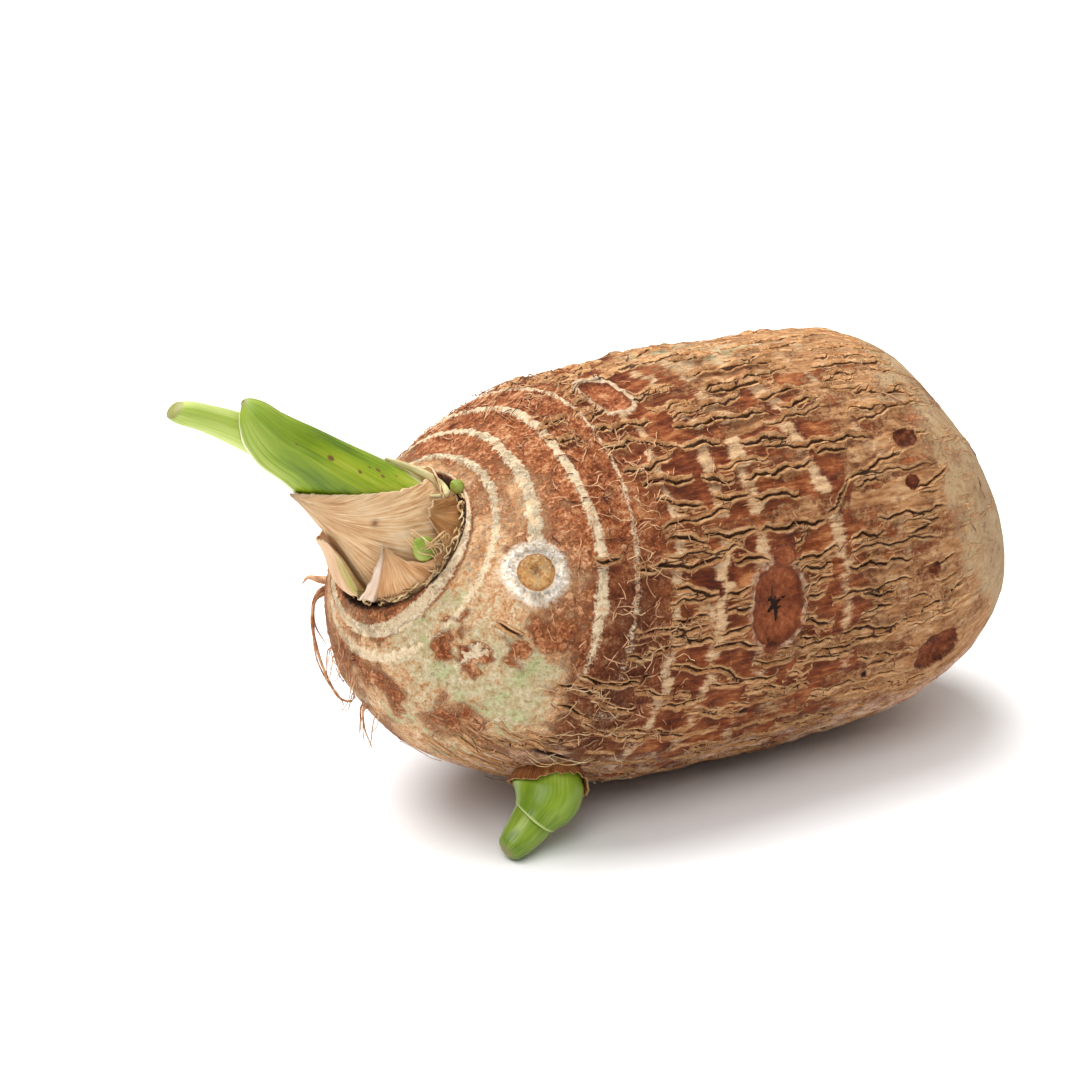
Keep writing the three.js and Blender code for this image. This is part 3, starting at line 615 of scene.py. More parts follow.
# %% [markdown]
# ## What covers the skin where
# Dark fibrous bark fills the bands between the rings, and tan cork covers the flank. The upper
# side of the butt end has worn bare, the lower flank is pinker, and the lower front of the crown
# is rubbed. Each cover is a soft field over the grid.

# %% Bark, cork and worn skin
from_belly = np.abs(turned(DEGREES, -90))
lower_front = bell(turned(DEGREES, -50) / 34) * (1 - smooth(X, -62, -46))
crown_front = bell(turned(DEGREES, -38) / 44) * (1 - smooth(X, -68, -58))
rubbed = np.maximum(patches(RUBBED), 0.76 * crown_front) * (1 - 0.9 * brown)
WORN_EDGE = [       # angle, station where the worn butt end begins
    (-60, 74), (-42, 72), (-8, 66), (5, 57), (16, 53), (33, 51), (51, 46), (61, 47), (120, 60), (180, 70)]
worn_start = np.interp(DEGREES, *zip(*WORN_EDGE), period=360) + 3.5 * drift(SKIN_PLACE, 16, seed=71)
worn = smooth(X - worn_start, -6, 7)
lower_flank = smooth(from_belly, 62, 44) * smooth(X, -70, -60)
bark = np.interp(X, [-84, -82, -78, -75, -70, -66, -60, -48, -30, -18, -8, 4, 10, 15, 22, 40, 70],
                 [0.3, 0.4, 0.36, 0.5, 0.62, 0.85, 1.0, 0.95, 0.86, 0.84, 0.62, 0.6, 0.76, 0.7, 0.42,
                  0.28, 0.22])
bark += 0.2 * smooth(X, -56, -46) * strips * (1 - worn)
bark = bark * (1 - 0.6 * lower_front) * (1 - 0.8 * rubbed) * (1 - 0.35 * lower_flank)
bark = bark * (1 - 0.45 * smooth(DEGREES, 62, 84) * smooth(X, -30, -5))
upper_crown = smooth(turned(DEGREES, 90), -42, -18) * (1 - smooth(DEGREES, 115, 160))
upper_crown = upper_crown * (1 - smooth(X, -70, -64))
bark = bark + 0.3 * upper_crown * smooth(X, -84, -80) - 0.12 * upper_crown * smooth(X, -76, -72)
bark = np.maximum(bark * (1 - 0.5 * crown_front), brown)
bark = bark * (1 - smooth(from_belly, 60, 20) * 0.3)
deep = bell((X + 53) / 9) * smooth(DEGREES, 34, 4) * smooth(DEGREES, -60, -35)     # darker bark low on the front, near station -53
cork = smooth(X, -56, -34) * (1 - 0.8 * worn)
print("bark from", round(float(bark.min()), 2), "to", round(float(bark.max()), 2))

# %% [markdown]
# ## Relief
# Rings and the lips of cracks stand out, cracks, scars and pits sink in, and grit and fine ridges
# roughen the rest. All of it is one height over the smooth skin, and it fades where the corm rests
# on its belly.

# %% Relief of the skin
def lip_ring(arc, degrees):
    """The newest ring, close to the socket on its right side and further from it below."""
    middle = first_arc - 2.2 + 2.0 * bell(turned(degrees, -80) / 50) + 0.8 * bell(turned(degrees, 120) / 50)
    return 1.1 * bell((arc - middle) / (0.85 + 0.6 * bell(turned(degrees, 5) / 45)))


pale = np.maximum(ring * (1 - 0.5 * lower_front * smooth(X, -80, -77)), lip_ring(ARC, DEGREES))
pale = np.maximum(pale, patches(PALE_PATCHES)) * (1 - scar_clear)
lumps = 0.5 * drift(ROUND, 46.0, seed=3)
grit = drift(ROUND, 3.2, seed=8)
ridges = drift(ROUND * [0.14, 1, 1], 2.1, seed=9)

open_now = crack_open * (1 - scar_clear) * (1 - button)
lips_now = crack_lips * (1 - scar_clear) * (1 - 0.8 * halo) * (0.82 + 0.18 * grit)
groove = open_now * bell(crack_away / 0.42)
relief = (0.6 * ring * (1 - scar_clear) * (1 - 0.6 * cork) + 1.15 * lips_now - 1.1 * groove
          + 0.22 * grit * np.clip(bark, 0, 1) * (1 - button) * (1 - 0.4 * cork)
          + 0.24 * ridges * cork * (1 - button) * (1 - scar)
          - 0.3 * bark * (1 - ring) * (1 - lips_now.clip(0, 1)) - 1.2 * pit - 0.9 * star)
below = bell(from_belly / 18) * bell(X / 42)
height = (1 - below) * (relief + lumps) + scar_height + button_height
print("relief from", round(float(height.min()), 2), "to", round(float(height.max()), 2), "mm")

# %% [markdown]
# ## The corm's mesh
# The grid of the skin starts at the crest of the socket that the shoot stands in. A few more rows
# lead down the socket's wall to its floor, and one point closes the butt end. Every field goes
# along as an attribute, which the finish reads.

# %% Make the corm
SOCKET_RINGS = [(0.02, -2.8), (9.0, -2.8), (16.6, -2.8), (17.0, -2.4), (17.1, -1.4), (17.4, -0.7),
                (17.9, -0.2), (18.7, 0.15)]
BRIDGE_ROWS = 4         # rows between the socket's crest and the first row of the skin


def grid_faces(rows, columns, first=0):
    """Faces of a tube of rows by columns points, from the point numbered first."""
    i, j = np.meshgrid(np.arange(rows - 1), np.arange(columns), indexing="ij")
    k = (j + 1) % columns
    here, there = first + i * columns, first + (i + 1) * columns
    return np.stack([here + j, there + j, there + k, here + k], -1).reshape(-1, 4).tolist()


def new_piece(name, points, faces, fields):
    """A mesh object from points in millimetres, with one attribute for each field."""
    mesh = bpy.data.meshes.new(name)
    mesh.from_pydata((np.asarray(points, float) * MM).tolist(), [], faces)
    for key, values in fields.items():
        values = np.asarray(values, np.float32)
        kind = "FLOAT_VECTOR" if values.ndim == 2 else "FLOAT"
        attribute = mesh.attributes.new(key, kind, "POINT")
        attribute.data.foreach_set("vector" if values.ndim == 2 else "value", values.ravel())
    mesh.validate()
    mesh.shade_smooth()
    piece = bpy.data.objects.new(name, mesh)
    bpy.context.scene.collection.objects.link(piece)
    return piece


def corm_rows():
    """The rows of points of the socket, the bridge to the skin, and the skin itself."""
    skin = skin_point(X, THETA, height)
    skin[..., 2] = np.maximum(skin[..., 2], 0)
    drawn_in = 1.3 * bell(turned(np.degrees(column_theta), -65) / 48)
    socket = []
    for r, h in SOCKET_RINGS:
        r = r - drawn_in * min(r / 16.0, 1)
        socket.append(shoot_point(h, r * np.cos(column_theta), r * np.sin(column_theta)))
    crest, first = socket[-1], skin[0]
    bridge = []
    for k in range(1, BRIDGE_ROWS + 1):
        t = k / (BRIDGE_ROWS + 1)
        bulge = unit(crest - shoot_point(0.0, 0.0, 0.0)) * 0.2 + shoot_axis * 0.5
        bridge.append(crest + (first - crest) * t + bulge * math.sin(math.pi * t))
    return socket + bridge, skin


lead_rows, skin_rows = corm_rows()
lead = len(lead_rows)
all_rows = np.concatenate([np.stack(lead_rows), skin_rows])
pole = skin_point(BUTT_REACH - 1e-6, 0.0)
corm_points = np.concatenate([all_rows.reshape(-1, 3), pole[None]])
corm_faces = grid_faces(len(all_rows), CORM_COLUMNS)
last_row = (len(all_rows) - 1) * CORM_COLUMNS
for j in range(CORM_COLUMNS):
    corm_faces.append((last_row + j, len(corm_points) - 1, last_row + (j + 1) % CORM_COLUMNS))
corm_faces.append(tuple(range(CORM_COLUMNS)))


def padded_field(field, lead_value, last_value=0.0):
    """A field of the skin, with one value for the socket's rows and one for the last point."""
    top = np.full((lead, CORM_COLUMNS), lead_value)
    return np.concatenate([top.ravel(), field.ravel(), [last_value]])


lead_arc, lead_theta = np.meshgrid(first_arc - np.linspace(8, 0.5, lead), column_theta, indexing="ij")
round_points = np.concatenate([cylinder(lead_arc, lead_theta).reshape(-1, 3), ROUND.reshape(-1, 3),
                               [[TABLE_ARC[-1], 0, 0]]]) * MM
# Painted shade: the socket's deep rows are painted dark, fading up its wall.
socket_shade = np.concatenate([np.repeat(np.interp(np.arange(lead), [0, 5, 7, 9], [1, 1, 0.7, 0]),
                                         CORM_COLUMNS), np.zeros(X.size + 1)])
crown_pale = padded_field(pale, 0.0)
crown_pale[:lead * CORM_COLUMNS] = lip_ring(lead_arc, DEGREES[:1]).ravel()
padded_marks = np.concatenate([np.zeros((lead * CORM_COLUMNS, 3)), mark_place.reshape(-1, 3),
                               np.zeros((1, 3))])

corm = new_piece("corm_skin", corm_points, corm_faces, {
    "skin": round_points,
    "pale": crown_pale,
    "bark": padded_field(bark, 0.55, 0.2),
    "deep": padded_field(deep, 0.0),
    "cork": padded_field(cork, 0.0, 1.0),
    "rubbed": padded_field(rubbed, 0.0, 0.2),
    "flank": padded_field(lower_flank, 0.0, 0.0),
    "worn": padded_field(worn, 0.0, 1.0),
    "crack_away": padded_field(crack_away, 6.0, 6.0),
    "crack_far": padded_field(np.abs(crack_away), 6.0, 6.0),
    "crack_open": padded_field(open_now, 0.0),
    "lips": padded_field(lips_now, 0.0),
    "shade": padded_field(crack_shade * (1 - scar_clear), 0.0),
    "scar_edge": padded_field(scar_edge, 9.0, 9.0),
    "pale_edge": padded_field(pale_edge, 0.0),
    "button_edge": padded_field(button_edge, 9.0, 9.0),
    "mark_place": padded_marks,
    "star": padded_field(star, 0.0),
    "pit": padded_field(pit, 0.0),
    "socket": socket_shade,
})
print("corm skin:", len(corm.data.polygons), "faces")

# %% [markdown]
# ## The corm's finish: cork and old leaf-base skin
# Cork is dead, dry and matt, so it has no coat and hardly any shine. The eye gets its colour
# from crumbs and fibres a few tenths of a millimetre wide. These are too fine for the mesh, so
# they are noises. A soft field of the mesh and a noise together make a mask with a ragged edge,
# and colours are laid over each other through such masks.

# %% Helpers for patterns
WAVES_PER_BLOB = 1.6        # turns the width of a noise's blobs into its scale


def noise(tree, vector, grain, detail=4.0, roughness=0.55, stretch=(1, 1, 1)):
    """Noise whose blobs are about grain millimetres across, stretched by the given factors."""
    scaled = add(tree, "ShaderNodeMapping", {"Vector": vector, "Scale": [1 / s for s in stretch]})
    made = add(tree, "ShaderNodeTexNoise", {
        "Vector": scaled.outputs[0], "Scale": 1 / (grain * MM * WAVES_PER_BLOB),
        "Detail": detail, "Roughness": roughness})
    return made.outputs["Fac"]


def field(tree, name, output="Fac"):
    """A named attribute of the mesh, as a number or, with "Vector", as a place."""
    return add(tree, "ShaderNodeAttribute", attribute_name=name).outputs[output]


def between(tree, value, low, high):
    """A smooth step: 0 at low, 1 at high. Low may be the greater of the two."""
    return add(tree, "ShaderNodeMapRange", {"Value": value, "From Min": low, "From Max": high},
               interpolation_type="SMOOTHSTEP").outputs["Result"]


def product(tree, total, *factors):
    for factor in factors:
        total = add(tree, "ShaderNodeMath", {0: total, 1: factor}, operation="MULTIPLY").outputs[0]
    return total


def plus(tree, total, *terms):
    """A number with others added to it, each given as (number, factor)."""
    for value, factor in terms:
        total = add(tree, "ShaderNodeMath", {0: value, 1: factor, 2: total},
                    operation="MULTIPLY_ADD").outputs[0]
    return total


def mixed(tree, value, *others):
    """A number mixed with others in turn, each given as (number, share)."""
    for other, share in others:
        value = add(tree, "ShaderNodeMix", {0: share, 2: value, 3: other}).outputs[0]
    return value


def ragged(tree, mask, break_up, amount, low, high):
    """A soft mask cut to a ragged edge by a noise."""
    return between(tree, plus(tree, -0.5 * amount, (mask, 1.0), (break_up, amount)), low, high)


def tint(tree, value, *stops):
    """Colours along a number, from (place, hex) stops."""
    return set_stops(add(tree, "ShaderNodeValToRGB", {"Fac": value}), *stops).outputs["Color"]


def layered(tree, colour, *layers):
    """Colours laid over a base, each through its own mask."""
    for over, mask in layers:
        over = linear(over) if isinstance(over, str) else over
        mix = add(tree, "ShaderNodeMix", {0: mask, 6: colour, 7: over}, data_type="RGBA",
                  clamp_factor=True)
        colour = mix.outputs[2]
    return colour


# %% [markdown]
# Noise at each real size gives the grain: specks of 0.4 mm, crumbs of 1 mm, clods of 3 mm and
# blotches of 6 mm. Streaks run along the corm, as its cork splits, and hoops run round it, as the
# leaf bases did. Each kind of skin is a range of colours along a mix of these.

# %% Grain and colours of the skin
cork_skin, tree, shader = new_finish("cork_and_leaf_base_skin", Roughness=0.86, IOR=1.45,
                                     Specular_IOR_Level=0.28)
skin_place = field(tree, "skin", "Vector")
body_place = add(tree, "ShaderNodeTexCoord").outputs["Object"]
crumb = noise(tree, body_place, 1.0, detail=5, roughness=0.6)
fine = noise(tree, body_place, 0.4, detail=3, roughness=0.7)
blotch = noise(tree, body_place, 6.0, detail=3)
streak = noise(tree, skin_place, 0.6, detail=5, roughness=0.65, stretch=(5, 1, 1))
hoops = noise(tree, skin_place, 0.7, detail=3, stretch=(1, 9, 9))
clods = noise(tree, body_place, 3.0, detail=4, roughness=0.6, stretch=(1.6, 1, 1))
crumb_and_fine = mixed(tree, crumb, (fine, 0.4))
streak_and_clods = mixed(tree, streak, (clods, 0.5))
corky = field(tree, "cork")

tan_skin = tint(tree, mixed(tree, fine, (crumb, 0.45), (hoops, 0.2)),
                (0.36, "#8A5632"), (0.45, "#B28056"), (0.53, "#CAA47B"), (0.62, "#E0CAAA"))
crumbs_of_bark = tint(tree, mixed(tree, crumb, (fine, 0.5), (clods, 0.3)),
                      (0.36, "#3C180A"), (0.44, "#733617"), (0.52, "#A5633A"), (0.61, "#D6A67C"))
cells_of_bark = tint(tree, streak_and_clods,
                     (0.34, "#38150A"), (0.44, "#5E2811"), (0.54, "#874622"), (0.66, "#B97C4D"))
bark_colour = layered(tree, crumbs_of_bark, (cells_of_bark, corky))
cork_colour = tint(tree, streak_and_clods,
                   (0.32, "#6E4122"), (0.43, "#94633C"), (0.53, "#B0845A"), (0.66, "#CDA981"))
pink_colour = tint(tree, mixed(tree, streak, (crumb, 0.5)),
                   (0.34, "#6E4230"), (0.44, "#A67A5E"), (0.54, "#CBA78A"), (0.66, "#E0CAB2"))
pale_colour = tint(tree, mixed(tree, fine, (crumb, 0.5), (streak, product(tree, corky, 0.5))),
                   (0.3, "#A68563"), (0.44, "#CDB28E"), (0.56, "#DFCAA9"), (0.68, "#EBDDC4"))
cell_colour = tint(tree, mixed(tree, fine, (streak, 0.6)),
                   (0.3, "#8A6340"), (0.44, "#B28A62"), (0.56, "#CBA67D"), (0.68, "#DCBF98"))
rubbed_colour = tint(tree, crumb_and_fine,
                     (0.3, "#86683F"), (0.42, "#A3936A"), (0.53, "#B9A985"), (0.66, "#D6C7AC"))
moss_colour = tint(tree, crumb_and_fine,
                   (0.36, "#8E8A58"), (0.46, "#A5A674"), (0.56, "#B7B98C"), (0.66, "#CFCBA6"))
worn_colour = tint(tree, mixed(tree, crumb, (clods, 0.5)),
                   (0.34, "#80603F"), (0.44, "#A3835D"), (0.55, "#B59873"), (0.66, "#C4AB86"))
lip_colour = tint(tree, mixed(tree, streak, (fine, 0.3)),
                  (0.32, "#8C5533"), (0.45, "#B07C4E"), (0.56, "#D1A070"), (0.7, "#E6C49B"))
print("grain and colours:", len(tree.nodes), "nodes so far")

# %% [markdown]
# A mask says where each kind of skin shows. Rings are crisp on the crown and flaky in the cork.
# Round a crack the masks come from the distance to it: a jagged dark line, and a tan lip on
# either side that is wider where the crack is open.

# %% Where each kind of skin shows
bark_noise = mixed(tree, crumb, (fine, 0.35), (clods, 0.4), (blotch, 0.25))
bark_mask = ragged(tree, field(tree, "bark"), bark_noise, 3.2, 0.25, 0.62)
pale_field = field(tree, "pale")
crisp_ring = ragged(tree, pale_field, mixed(tree, fine, (crumb, 0.3)), 1.0, 0.34, 0.62)
flaky_noise = mixed(tree, crumb, (fine, 0.5), (streak, product(tree, corky, 0.6)))
pale_mask = mixed(tree, crisp_ring, (ragged(tree, pale_field, flaky_noise, 1.7, 0.26, 0.74), corky))
rubbed_field = field(tree, "rubbed")
rubbed_mask = ragged(tree, rubbed_field, mixed(tree, clods, (crumb_and_fine, 0.6)), 3.0, 0.3, 0.75)
moss_mask = ragged(tree, rubbed_field, clods, 3.0, 0.75, 1.2)
flank_mask = ragged(tree, field(tree, "flank"), clods, 1.2, 0.35, 0.8)
worn_mask = ragged(tree, field(tree, "worn"), clods, 1.6, 0.3, 0.7)
shade_mask = ragged(tree, field(tree, "shade"), streak, 0.8, 0.2, 0.85)

how_open = field(tree, "crack_open")
jag = noise(tree, skin_place, 1.5, detail=3, roughness=0.6, stretch=(1.6, 1, 1))
jagged = plus(tree, -0.4, (field(tree, "crack_away"), 1.0), (jag, 0.8))
crack_distance = add(tree, "ShaderNodeMath", {0: jagged}, operation="ABSOLUTE").outputs[0]
# Halfway between two cracks the signed distance jumps, so the plain one keeps lines out of there.
crack_far = field(tree, "crack_far")
past_edge = plus(tree, -0.12, (crack_distance, 1.0), (fine, 0.25), (how_open, -0.3))
crack_mask = product(tree, between(tree, past_edge, 0.16, -0.02),
                     between(tree, how_open, 0.04, 0.5), between(tree, crack_far, 1.5, 1.1))
past_lip = plus(tree, -0.75, (crack_distance, 1.0), (streak, 0.9), (how_open, -0.5))
lip_mask = product(tree, between(tree, past_lip, 0.7, 0.25),
                   between(tree, field(tree, "lips"), 0.0, 0.1), between(tree, crack_far, 2.6, 1.9))
print("masks:", len(tree.nodes), "nodes so far")

# %% [markdown]
# Scars and dormant buds have strokes that run out from their middles: noise over the direction
# from the middle, which barely changes on the way out. A scar's old skin is brown, its rim is
# pale, and a bud is tan with a darker middle in a whitish halo.

# %% Scars and buds in the finish
mark = field(tree, "mark_place", "Vector")
outwards = add(tree, "ShaderNodeVectorMath", {0: mark}, operation="NORMALIZE").outputs[0]
round_mark = add(tree, "ShaderNodeVectorMath", {0: outwards, "Scale": 2.6}, operation="SCALE")
along_mark = add(tree, "ShaderNodeVectorMath", {0: mark, "Scale": 0.06}, operation="SCALE")
spokes_at = add(tree, "ShaderNodeVectorMath", {0: round_mark.outputs[0], 1: along_mark.outputs[0]})
spokes = add(tree, "ShaderNodeTexNoise", {
    "Vector": spokes_at.outputs[0], "Scale": 2.4, "Detail": 4.0, "Roughness": 0.6}).outputs["Fac"]

whiteness = field(tree, "pale_edge")
scar_at = field(tree, "scar_edge")
scar_mask = between(tree, plus(tree, scar_at, (crumb, 0.3)), 1.2, 1.07)
scar_colour = tint(tree, mixed(tree, spokes, (crumb, 0.4), (blotch, 0.35)),
                   (0.32, "#4A1D0F"), (0.43, "#6F341B"), (0.54, "#8C4B2A"), (0.66, "#AD7450"))
scar_colour = layered(tree, scar_colour, (crumbs_of_bark, between(tree, whiteness, 0.6, 0.8)))
rim_colour = tint(tree, crumb, (0.4, "#A07C60"), (0.6, "#C4A488"))
rim_colour = layered(tree, rim_colour, (pale_colour, between(tree, whiteness, 0.6, 0.9)))
rim_shape = product(tree, between(tree, scar_at, 1.38, 1.12), between(tree, scar_at, 0.98, 1.04))
rim_mask = ragged(tree, product(tree, rim_shape, whiteness), crumb, 1.2, 0.2, 0.75)
dark_edge = product(tree, between(tree, scar_at, 0.86, 0.98), between(tree, scar_at, 1.1, 1.0))
dark_scar = product(tree, between(tree, whiteness, 0.1, 0.0), scar_mask,
                    between(tree, mixed(tree, clods, (crumb, 0.4)), 0.58, 0.42))
star_mask = ragged(tree, field(tree, "star"), crumb, 1.2, 0.35, 0.7)

button_at = field(tree, "button_edge")
button_mask = between(tree, plus(tree, button_at, (fine, 0.1)), 1.07, 1.0)
button_colour = tint(tree, mixed(tree, crumb, (fine, 0.45)),
                     (0.36, "#8F5A2C"), (0.46, "#BC8A52"), (0.55, "#D3A972"), (0.64, "#E6CCA2"))
button_rim = product(tree, between(tree, button_at, 0.72, 0.95), button_mask)
button_middle = between(tree, mixed(tree, button_at, (crumb, 0.35)), 0.42, 0.3)
halo_noise = mixed(tree, spokes, (crumb, 0.35))
halo_edge = plus(tree, button_at, (mixed(tree, halo_noise, (clods, 0.45)), 2.8))
halo_mask = between(tree, halo_edge, 3.4, 2.9)
halo_colour = tint(tree, halo_noise, (0.36, "#B5997A"), (0.45, "#E0CEB6"), (0.58, "#F2E8D9"))
print("scars and buds:", len(tree.nodes), "nodes so far")

# %% [markdown]
# The colours go on in the order they grew: tan skin, cork, brown bark, pale rings, tan lips, marks,
# then the dark inside of the cracks, which is partly painted shade. Painted shade is also laid
# beside the lips, in the pits, in the star split and in the socket. The bump follows the same
# masks, so a lip is both lighter and higher, and a crack is both darker and deeper.

# %% Lay the colours on the corm
colour = layered(
    tree, tan_skin,
    (cork_colour, ragged(tree, corky, blotch, 0.9, 0.15, 0.75)),
    (pink_colour, flank_mask),
    (worn_colour, worn_mask),
    (layered(tree, rubbed_colour, (moss_colour, moss_mask)), rubbed_mask),
    (bark_colour, bark_mask),
    ("#46200F", product(tree, field(tree, "deep"), bark_mask, 0.75)),
    (layered(tree, pale_colour, (cell_colour, product(tree, corky, 0.9))), pale_mask),
    # painted shade: a dark band beside the lips of the cracks
    ("#4E2512", product(tree, shade_mask, 0.5)),
    (lip_colour, lip_mask),
    (halo_colour, halo_mask),
    (rim_colour, rim_mask),
    (scar_colour, scar_mask),
    ("#4A1F12", product(tree, dark_edge, scar_mask, 0.6)),
    ("#35140A", product(tree, dark_scar, 0.8)),
    # the star split: near black, partly painted shade inside the split
    ("#24100A", star_mask),
    (button_colour, button_mask),
    ("#9C5A28", product(tree, button_rim, 0.55)),
    ("#7E4A22", product(tree, button_middle, 0.7)),
    # painted shade: the pits and the crevice above the side shoot, near black in their hollows
    ("#2E170D", between(tree, field(tree, "pit"), 0.25, 0.7)),
    # the crack line: dark cork inside, and partly painted shade of the crack's hollow
    ("#361B0F", product(tree, crack_mask, 0.92)),
    # painted shade: the socket round the shoot's foot is painted dark
    ("#38200F", ragged(tree, field(tree, "socket"), crumb, 1.0, 0.45, 0.8)),
)
tree.links.new(colour, shader.inputs["Base Color"])

crumble = product(tree, crumb_and_fine, plus(tree, 0.25, (bark_mask, 0.75)))
crumble = plus(tree, crumble, (lip_mask, 0.7), (crack_mask, -0.9))
coarse_bump = add(tree, "ShaderNodeBump", {"Height": crumble, "Strength": 0.9, "Distance": 0.8 * MM})
fine_bump = add(tree, "ShaderNodeBump", {
    "Height": mixed(tree, fine, (streak, product(tree, corky, 0.7))), "Strength": 0.8,
    "Distance": 0.45 * MM, "Normal": coarse_bump.outputs[0]})
tree.links.new(fine_bump.outputs[0], shader.inputs["Normal"])
corm.data.materials.append(cork_skin)
print("corm finish:", len(tree.nodes), "nodes")

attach(corm, "root")
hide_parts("corm")

# %% [markdown]
# ## The leaf shoot
# The stalk of a taro leaf is a sheath at its foot: one margin wraps over the other, and the next
# stalk comes out of the slit between them. So the outer stalk is a thick strip bent round almost
# to a tube, and the inner one is a plain taper that leans out of its open side. Both follow a few
# (height, offset, radius) points, and everything that wraps them follows the same points.

# %% Outlines of the two stalks
GAP = 0.3
SOCKET_FLOOR = -2.8
SHOOT_FOOT = SOCKET_FLOOR + GAP
PETIOLE = [     # height, middle's offset upwards, radius
    (-2.5, 0.3, 13.8), (3, 0.8, 13.4), (8, 1.5, 12.6), (18, 1.9, 10.2), (30, 1.3, 8.0),
    (37, 0.7, 7.1), (48, -0.5, 5.8), (54, 0.3, 4.1), (56.3, 0.9, 2.5), (57.2, 1.4, 1.3),
    (57.6, 1.7, 0.5)]
PETIOLE_WALL = 1.1
INNER_PETIOLE = [       # height, upwards, frontwards, radius
    (-2.0, 0.0, 0.0, 8.0), (10, 0.6, 0.0, 7.2), (26, 0.6, -0.8, 5.2), (40, -0.9, -2.4, 4.3),
    (52, -3.1, -3.4, 3.9), (61, -5.8, -3.4, 3.2), (67.6, -8.4, -3.4, 2.5), (68.6, -8.8, -3.4, 2.1)]


def along(points, place, column):
    """A smooth curve through (place, value, ...) points: the value in a column at each place."""
    table = np.array(points, float)
    at, values = table[:, 0], table[:, column]
    slopes = np.gradient(values, at)
    i = np.clip(np.searchsorted(at, place) - 1, 0, len(at) - 2)
    span = at[i + 1] - at[i]
    t = np.clip((place - at[i]) / span, 0, 1)
    rise = (2 * t ** 3 - 3 * t ** 2 + 1) * values[i] + (-2 * t ** 3 + 3 * t ** 2) * values[i + 1]
    return rise + (t ** 3 - 2 * t ** 2 + t) * span * slopes[i] + (t ** 3 - t ** 2) * span * slopes[i + 1]


def round_stalk(h, radius, angle):
    """Points at a radius and an angle round the outer stalk's own middle."""
    return shoot_point(h, radius * np.cos(angle), radius * np.sin(angle) + along(PETIOLE, h, 1))


print("outer stalk:", PETIOLE[-1][0], "mm high, inner stalk:", INNER_PETIOLE[-1][0], "mm")

# %% [markdown]
# A leaf sheath is a thin wall: an outer skin, an inner skin, and faces that join their margins.
# The stalk, the dry sheaths and the husk are all made so, by one function.

# %% Thin walls
def quads(*corners):
    return np.stack(corners, -1).reshape(-1, 4).tolist()


def wall_faces(rows, columns, wraps):
    """Faces of a wall whose outer points come first, then the inner ones, rows by columns each."""
    outer, inner = np.arange(2 * rows * columns).reshape(2, rows, columns)
    j = np.arange(columns if wraps else columns - 1)
    k = (j + 1) % columns
    faces = quads(outer[:-1, j], outer[:-1, k], outer[1:, k], outer[1:, j])
    faces += quads(inner[:-1, j], inner[1:, j], inner[1:, k], inner[:-1, k])
    faces += quads(outer[-1, j], outer[-1, k], inner[-1, k], inner[-1, j])
    faces += quads(outer[0, k], outer[0, j], inner[0, j], inner[0, k])
    if not wraps:
        faces += quads(outer[:-1, 0], outer[1:, 0], inner[1:, 0], inner[:-1, 0])
        faces += quads(outer[1:, -1], outer[:-1, -1], inner[:-1, -1], inner[1:, -1])
    return faces


def fix_normals(piece):
    """Merges doubled points and turns every face outwards."""
    work = bmesh.new()
    work.from_mesh(piece.data)
    bmesh.ops.remove_doubles(work, verts=work.verts, dist=1e-7)
    bmesh.ops.recalc_face_normals(work, faces=work.faces)
    work.to_mesh(piece.data)
    work.free()


def thin_wall(name, skins, wraps, lengthways, **fields):
    """A wall between two skins of points, outer one first. Lengthways runs along its fibres."""
    points = np.concatenate([skin.reshape(-1, 3) for skin in skins])
    made = {key: np.tile(values.ravel(), 2) for key, values in fields.items()}
    made["lengthways"] = np.tile(lengthways.reshape(-1, 3), (2, 1)) * MM
    piece = new_piece(name, points, wall_faces(*lengthways.shape[:2], wraps), made)
    fix_normals(piece)
    print(name + ":", len(piece.data.polygons), "faces")
    return piece


# %% [markdown]
# The outer stalk is a strip whose two margins part towards its top. It is ribbed lengthwise, one
# margin is rolled, the foot of the other is creamy, and a few brown flecks lie on its front.

# %% The outer stalk
STALK_COLUMNS, STALK_ROWS = 150, 110
FRONT_MARGIN = math.radians(-84)
FLECKS = [      # height, degrees: 0 front, 90 up; size (mm)
    (34.9, 19, 0.75), (26.8, 24, 0.5), (22.3, 43, 0.6), (20.8, 37, 0.5), (24.6, 40, 0.35),
    (39.2, 48, 0.3), (30, 62, 0.35), (44, 10, 0.3), (17, 50, 0.3), (33, 150, 0.5), (25, 210, 0.5)]


def fleck_field(h, angle, radius):
    field = np.zeros_like(h)
    for height, degrees, size in FLECKS:
        across = np.radians(turned(np.degrees(angle), degrees)) * radius
        field = np.maximum(field, bell(np.hypot((h - height) / 1.5, across) / size))
    return field


